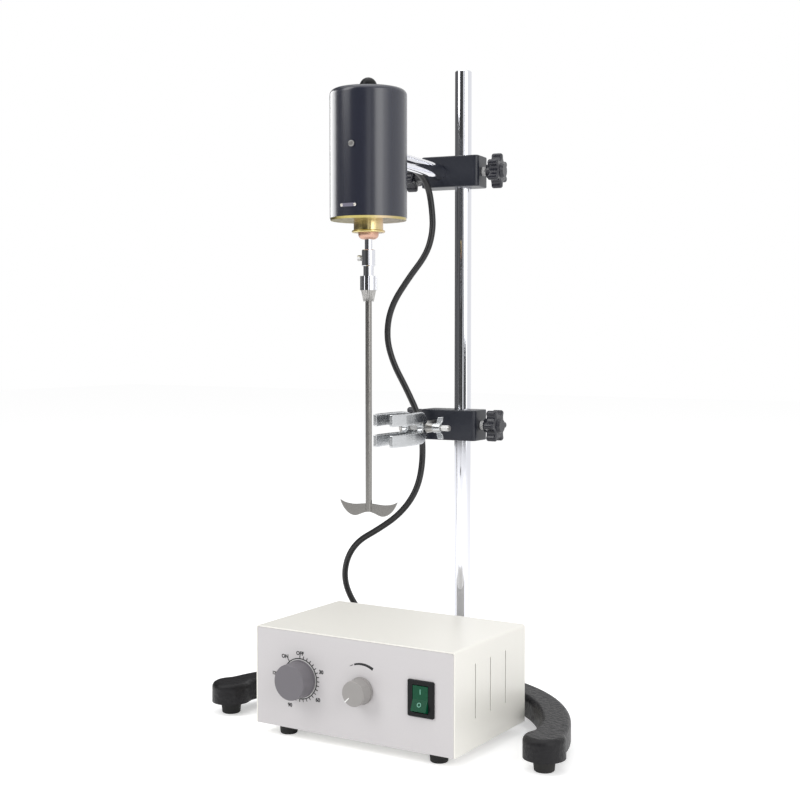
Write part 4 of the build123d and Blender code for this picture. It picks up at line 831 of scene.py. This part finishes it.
class StirrerBox(bpy.types.Operator):
    """The control box, its printed dials, knobs and rocker"""

    bl_idname = "stirrer.box"
    bl_label = "Control box"

    def execute(self, context):
        sizes = context.scene.stirrer_sizes
        depth = sizes.print_depth / MM
        paint(cream_enamel(), "box_cover", "box_chassis")
        paint(grey_enamel(), "front_panel")
        paint(turned_steel(), "cover_screws", "timer_spindle", "speed_spindle")
        paint(knob_plastic("dark_grey_moulded_abs", tint("timer_knob")), "timer_knob")
        paint(knob_plastic("mid_grey_moulded_abs", tint("speed_knob")), "speed_knob")
        paint(black_abs(), "switch_frame", "cord_gland", "mains_inlet", "timer_body", "potentiometer")
        paint(green_lens(), "switch_rocker")
        paint(laminations(), "transformer")
        paint(board_laminate(), "circuit_board")

        black = ink("black_screen_ink", "#1a1a1c")
        white = ink("white_screen_ink", "#f1f1ef")

        line_inner, ring_inner, ring_outer = 16.9, 17.3, 18.3
        tick_radius, tick_width, on_angle = 19.4, 0.8, radians(129)

        def scale_ring(work):
            ring_sector(work, TIMER, ring_inner, ring_outer, 0, 2 * pi, depth)
            spot = Vector((tick_radius * cos(on_angle), -depth / 2, tick_radius * sin(on_angle)))
            prism(work, TIMER + spot, (2.6, depth, tick_width), on_angle)

        def scale_line(work):
            ring_sector(work, TIMER, line_inner, ring_inner, 0, 2 * pi, depth)

        for name, build, material in (("timer_scale_ring", scale_ring, black),
                                      ("timer_scale_line", scale_line, white)):
            piece(name, mesh_of(name, build, smooth=False), material, "stand")
        ticks = run_tree(tick_tree(black), {
            "Count": sizes.tick_count, "Radius": tick_radius * MM, "First Angle": radians(90.3),
            "Step": sizes.tick_step, "Length": sizes.tick_length, "Width": tick_width * MM,
            "Depth": sizes.print_depth}, "timer_ticks")
        ticks.transform(Matrix.Translation((TIMER - Vector((0, depth / 2, 0))) * MM))
        piece("timer_ticks", ticks, black, "stand")

        words = []
        for label, x, z, size in (
            ("ON", -70.2, 73.4, 4.6), ("OFF", -54.0, 77.9, 4.6), ("30", -31.4, 64.2, 4.6),
            ("60", -35.0, 39.2, 4.8), ("90", -65.0, 30.6, 4.6), ("120", -81.4, 57.0, 4.0),
        ):
            words.append(text_mesh("dial_words", label, size, (x, PANEL_Y - depth / 2, z), depth))
        piece("dial_words", join_meshes("dial_words", words), black, "stand")

        def speed_arc(work):
            ring_sector(work, SPEED, 21.6, 24.1, radians(59.5), radians(109), depth, steps=40, taper=0.6)
            ring_sector(work, SPEED, 22.6, 23.3, radians(112.5), radians(121), depth, steps=8, taper=0.5)

        piece("speed_arc", mesh_of("speed_arc", speed_arc, smooth=False), black, "stand")

        def pointer(work):
            turn, reach, sunk = radians(225), 8.2, 0.35
            place = (SPEED.x + reach * cos(turn), SPEED_KNOB_FRONT + sunk, SPEED.z + reach * sin(turn))
            prism(work, place, (6.0, 0.5, 1.0), turn)

        piece("speed_pointer", mesh_of("speed_pointer", pointer, smooth=False), white,
              "speed_dial")

        # The rocker's two faces stand ROCKER_FACE off its pivot, the lower one tipped outward.
        low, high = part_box("switch_rocker")
        pivot = Vector(((low[0] + high[0]) / 2 / MM, ROCKER_PIVOT_Y, SWITCH_Z))

        def on_mark(work):
            prism(work, pivot + Vector((0, -ROCKER_FACE, 6.2)), (0.6, 0.24, 4.2))

        def off_mark(work):
            ring_sector(work, Vector((0, -ROCKER_FACE, -5.6)), 1.35, 1.9, 0, 2 * pi, 0.12, steps=40)

        ring = mesh_of("rocker_off_mark", off_mark, smooth=False)
        ring.transform(Matrix.Translation(pivot * MM) @ Matrix.Rotation(-ROCKER_TILT, 4, "X"))
        marks = join_meshes("rocker_marks", [mesh_of("rocker_on_mark", on_mark, smooth=False), ring])
        piece("rocker_marks", marks, ink("pale_green_fill", "#7fbda8"), "rocker")
        return {"FINISHED"}


class StirrerStageSetup(bpy.types.Operator):
    """Floor, soft studio light and camera"""

    bl_idname = "stirrer.stage"
    bl_label = "Stage"

    def execute(self, context):
        scene = context.scene
        stage = scene.stirrer_stage
        floor_mesh = bpy.data.meshes.new("studio_floor")
        half = 6.0
        corners = [(-half, -half, 0), (half, -half, 0), (half, half, 0), (-half, half, 0)]
        floor_mesh.from_pydata(corners, [], [(0, 1, 2, 3)])
        floor = bpy.data.objects.new("studio_floor", floor_mesh)
        scene.collection.objects.link(floor)
        material = bpy.data.materials.new("pale_studio_floor")
        material.use_nodes = True
        tree = material.node_tree
        tree.nodes.clear()
        matte = add_node(tree, "ShaderNodeBsdfDiffuse", values={"Color": linear("#f4f4f4")})
        glow = add_node(tree, "ShaderNodeEmission", values={"Color": (1, 1, 1, 1), "Strength": 0.42})
        path = add_node(tree, "ShaderNodeLightPath")
        seen = add_node(tree, "ShaderNodeMath",
                        {0: path.outputs["Is Camera Ray"], 1: path.outputs["Is Glossy Ray"]},
                        operation="ADD", use_clamp=True)
        both = add_node(tree, "ShaderNodeAddShader", {0: matte.outputs[0], 1: glow.outputs[0]})
        mix = add_node(tree, "ShaderNodeMixShader",
                       {0: seen.outputs[0], 1: matte.outputs[0], 2: both.outputs[0]})
        add_node(tree, "ShaderNodeOutputMaterial", {"Surface": mix.outputs[0]})
        floor_mesh.materials.append(material)

        # Grey and dark flags and a white strip round the set, seen only in reflections: they draw
        # the long vertical bands on chrome and enamel. Angles are from the camera's side, turning
        # right.
        facing = atan2(stage.camera_place[1], stage.camera_place[0])
        card_reach = 3.0
        for name, start, end, level in (
            ("grey_flag_left", -178, -50, 0.13), ("dark_flag_left", -50, -3, 0.06),
            ("dark_flag_right", 9, 46, 0.09), ("white_strip_right", 47, 60, 1.8),
        ):
            card_mesh = bpy.data.meshes.new(name)
            steps = 12
            angles = [facing + radians(start + (end - start) * i / steps) for i in range(steps + 1)]
            verts = [(card_reach * cos(a), card_reach * sin(a), z) for a in angles for z in (-0.3, 3.4)]
            faces = [(2 * i, 2 * i + 1, 2 * i + 3, 2 * i + 2) for i in range(steps)]
            card_mesh.from_pydata(verts, [], faces)
            card = bpy.data.objects.new(name, card_mesh)
            scene.collection.objects.link(card)
            skin = bpy.data.materials.new(name)
            skin.use_nodes = True
            skin.node_tree.nodes.clear()
            shine = add_node(skin.node_tree, "ShaderNodeEmission",
                             values={"Color": (1, 1, 1, 1), "Strength": level})
            add_node(skin.node_tree, "ShaderNodeOutputMaterial", {"Surface": shine.outputs[0]})
            card_mesh.materials.append(skin)
            card.visible_camera = card.visible_diffuse = False
            card.visible_shadow = card.visible_transmission = False

        world = bpy.data.worlds.new("studio")
        scene.world = world
        world.use_nodes = True
        tree = world.node_tree
        tree.nodes.clear()
        path = add_node(tree, "ShaderNodeLightPath")
        seen = add_node(tree, "ShaderNodeMath",
                        {0: path.outputs["Is Camera Ray"], 1: path.outputs["Is Glossy Ray"]},
                        operation="ADD", use_clamp=True)
        level = add_node(tree, "ShaderNodeMapRange", {"Value": seen.outputs[0]},
                         {"To Min": stage.sky_level, "To Max": 1.0})
        back = add_node(tree, "ShaderNodeBackground", {"Strength": level.outputs[0]},
                        {"Color": (1, 1, 1, 1)})
        add_node(tree, "ShaderNodeOutputWorld", {"Surface": back.outputs[0]})

        for name, place, size, share in (
            ("key_lamp", (-1.0, -1.5, 1.5), (0.9, 1.4), 1.0),
            ("fill_lamp", (1.6, -0.9, 1.0), (0.8, 1.4), 0.75),
            ("top_lamp", (0.0, -0.2, 2.2), (1.6, 1.6), 0.6),
        ):
            lamp = bpy.data.lights.new(name, "AREA")
            lamp.shape = "RECTANGLE"
            lamp.size, lamp.size_y = size
            lamp.energy = stage.lamp_power * share
            obj = bpy.data.objects.new(name, lamp)
            scene.collection.objects.link(obj)
            obj.location = place
            target = Vector((0, -0.1, 0.3))
            obj.rotation_euler = (target - Vector(place)).to_track_quat("-Z", "Y").to_euler()

        # A strip light grazes the can alone and draws its left edge.
        turn = facing + radians(-129)
        lamp_reach = 2.8
        place = SPINDLE * MM + Vector((lamp_reach * cos(turn), lamp_reach * sin(turn), 0.15))
        lamp = bpy.data.lights.new("can_edge_lamp", "AREA")
        lamp.shape = "RECTANGLE"
        lamp.size, lamp.size_y = 2.0, 2.4
        lamp.energy = stage.lamp_power * 4.5
        lamp.diffuse_factor = 0.0
        edge = bpy.data.objects.new("can_edge_lamp", lamp)
        scene.collection.objects.link(edge)
        edge.location = place
        edge.rotation_euler = (SPINDLE * MM - place).to_track_quat("-Z", "Y").to_euler()
        lit = bpy.data.collections.new("can_only")
        lit.objects.link(NODES["motor_housing"])
        edge.light_linking.receiver_collection = lit

        camera = bpy.data.cameras.new("camera")
        camera.sensor_fit = "HORIZONTAL"
        camera.sensor_width = 36.0
        camera.lens = 36.0 * stage.focal_share
        eye = bpy.data.objects.new("camera", camera)
        scene.collection.objects.link(eye)
        eye.location = stage.camera_place
        eye.rotation_euler = (pi / 2 - stage.camera_pitch, 0, stage.camera_turn)
        scene.camera = eye
        scene.view_settings.view_transform = "Standard"
        return {"FINISHED"}


class StirrerPanel(bpy.types.Panel):
    """Sidebar list of the operators"""

    bl_idname = "STIRRER_PT_looks"
    bl_label = "Stirrer"
    bl_space_type = "VIEW_3D"
    bl_region_type = "UI"
    bl_category = "Stirrer"

    def draw(self, context):
        for operator in OPERATORS:
            self.layout.operator(operator.bl_idname)
        scene = context.scene
        for group in (scene.stirrer_sizes, scene.stirrer_colours, scene.stirrer_stage):
            for key in group.__annotations__:
                self.layout.prop(group, key)


OPERATORS = (StirrerCord, StirrerStand, StirrerHeads, StirrerMotor, StirrerSpindle, StirrerFlaskClamp,
             StirrerBox, StirrerStageSetup)
GROUPS = {"stirrer_sizes": StirrerSizes, "stirrer_colours": StirrerColours, "stirrer_stage": StirrerStage}
CLASSES = (*GROUPS.values(), *OPERATORS, StirrerPanel)


def register():
    """Register the classes and hang the settings on the scene."""
    for cls in CLASSES:
        bpy.utils.register_class(cls)
    for name, group in GROUPS.items():
        setattr(bpy.types.Scene, name, bpy.props.PointerProperty(type=group))


def unregister():
    """Undo register."""
    for name in GROUPS:
        delattr(bpy.types.Scene, name)
    for cls in reversed(CLASSES):
        bpy.utils.unregister_class(cls)


def main():
    """Run every operator in order."""
    register()
    for operator in OPERATORS:
        group, name = operator.bl_idname.split(".")
        getattr(getattr(bpy.ops, group), name)()


if __name__ == "__main__":
    main()
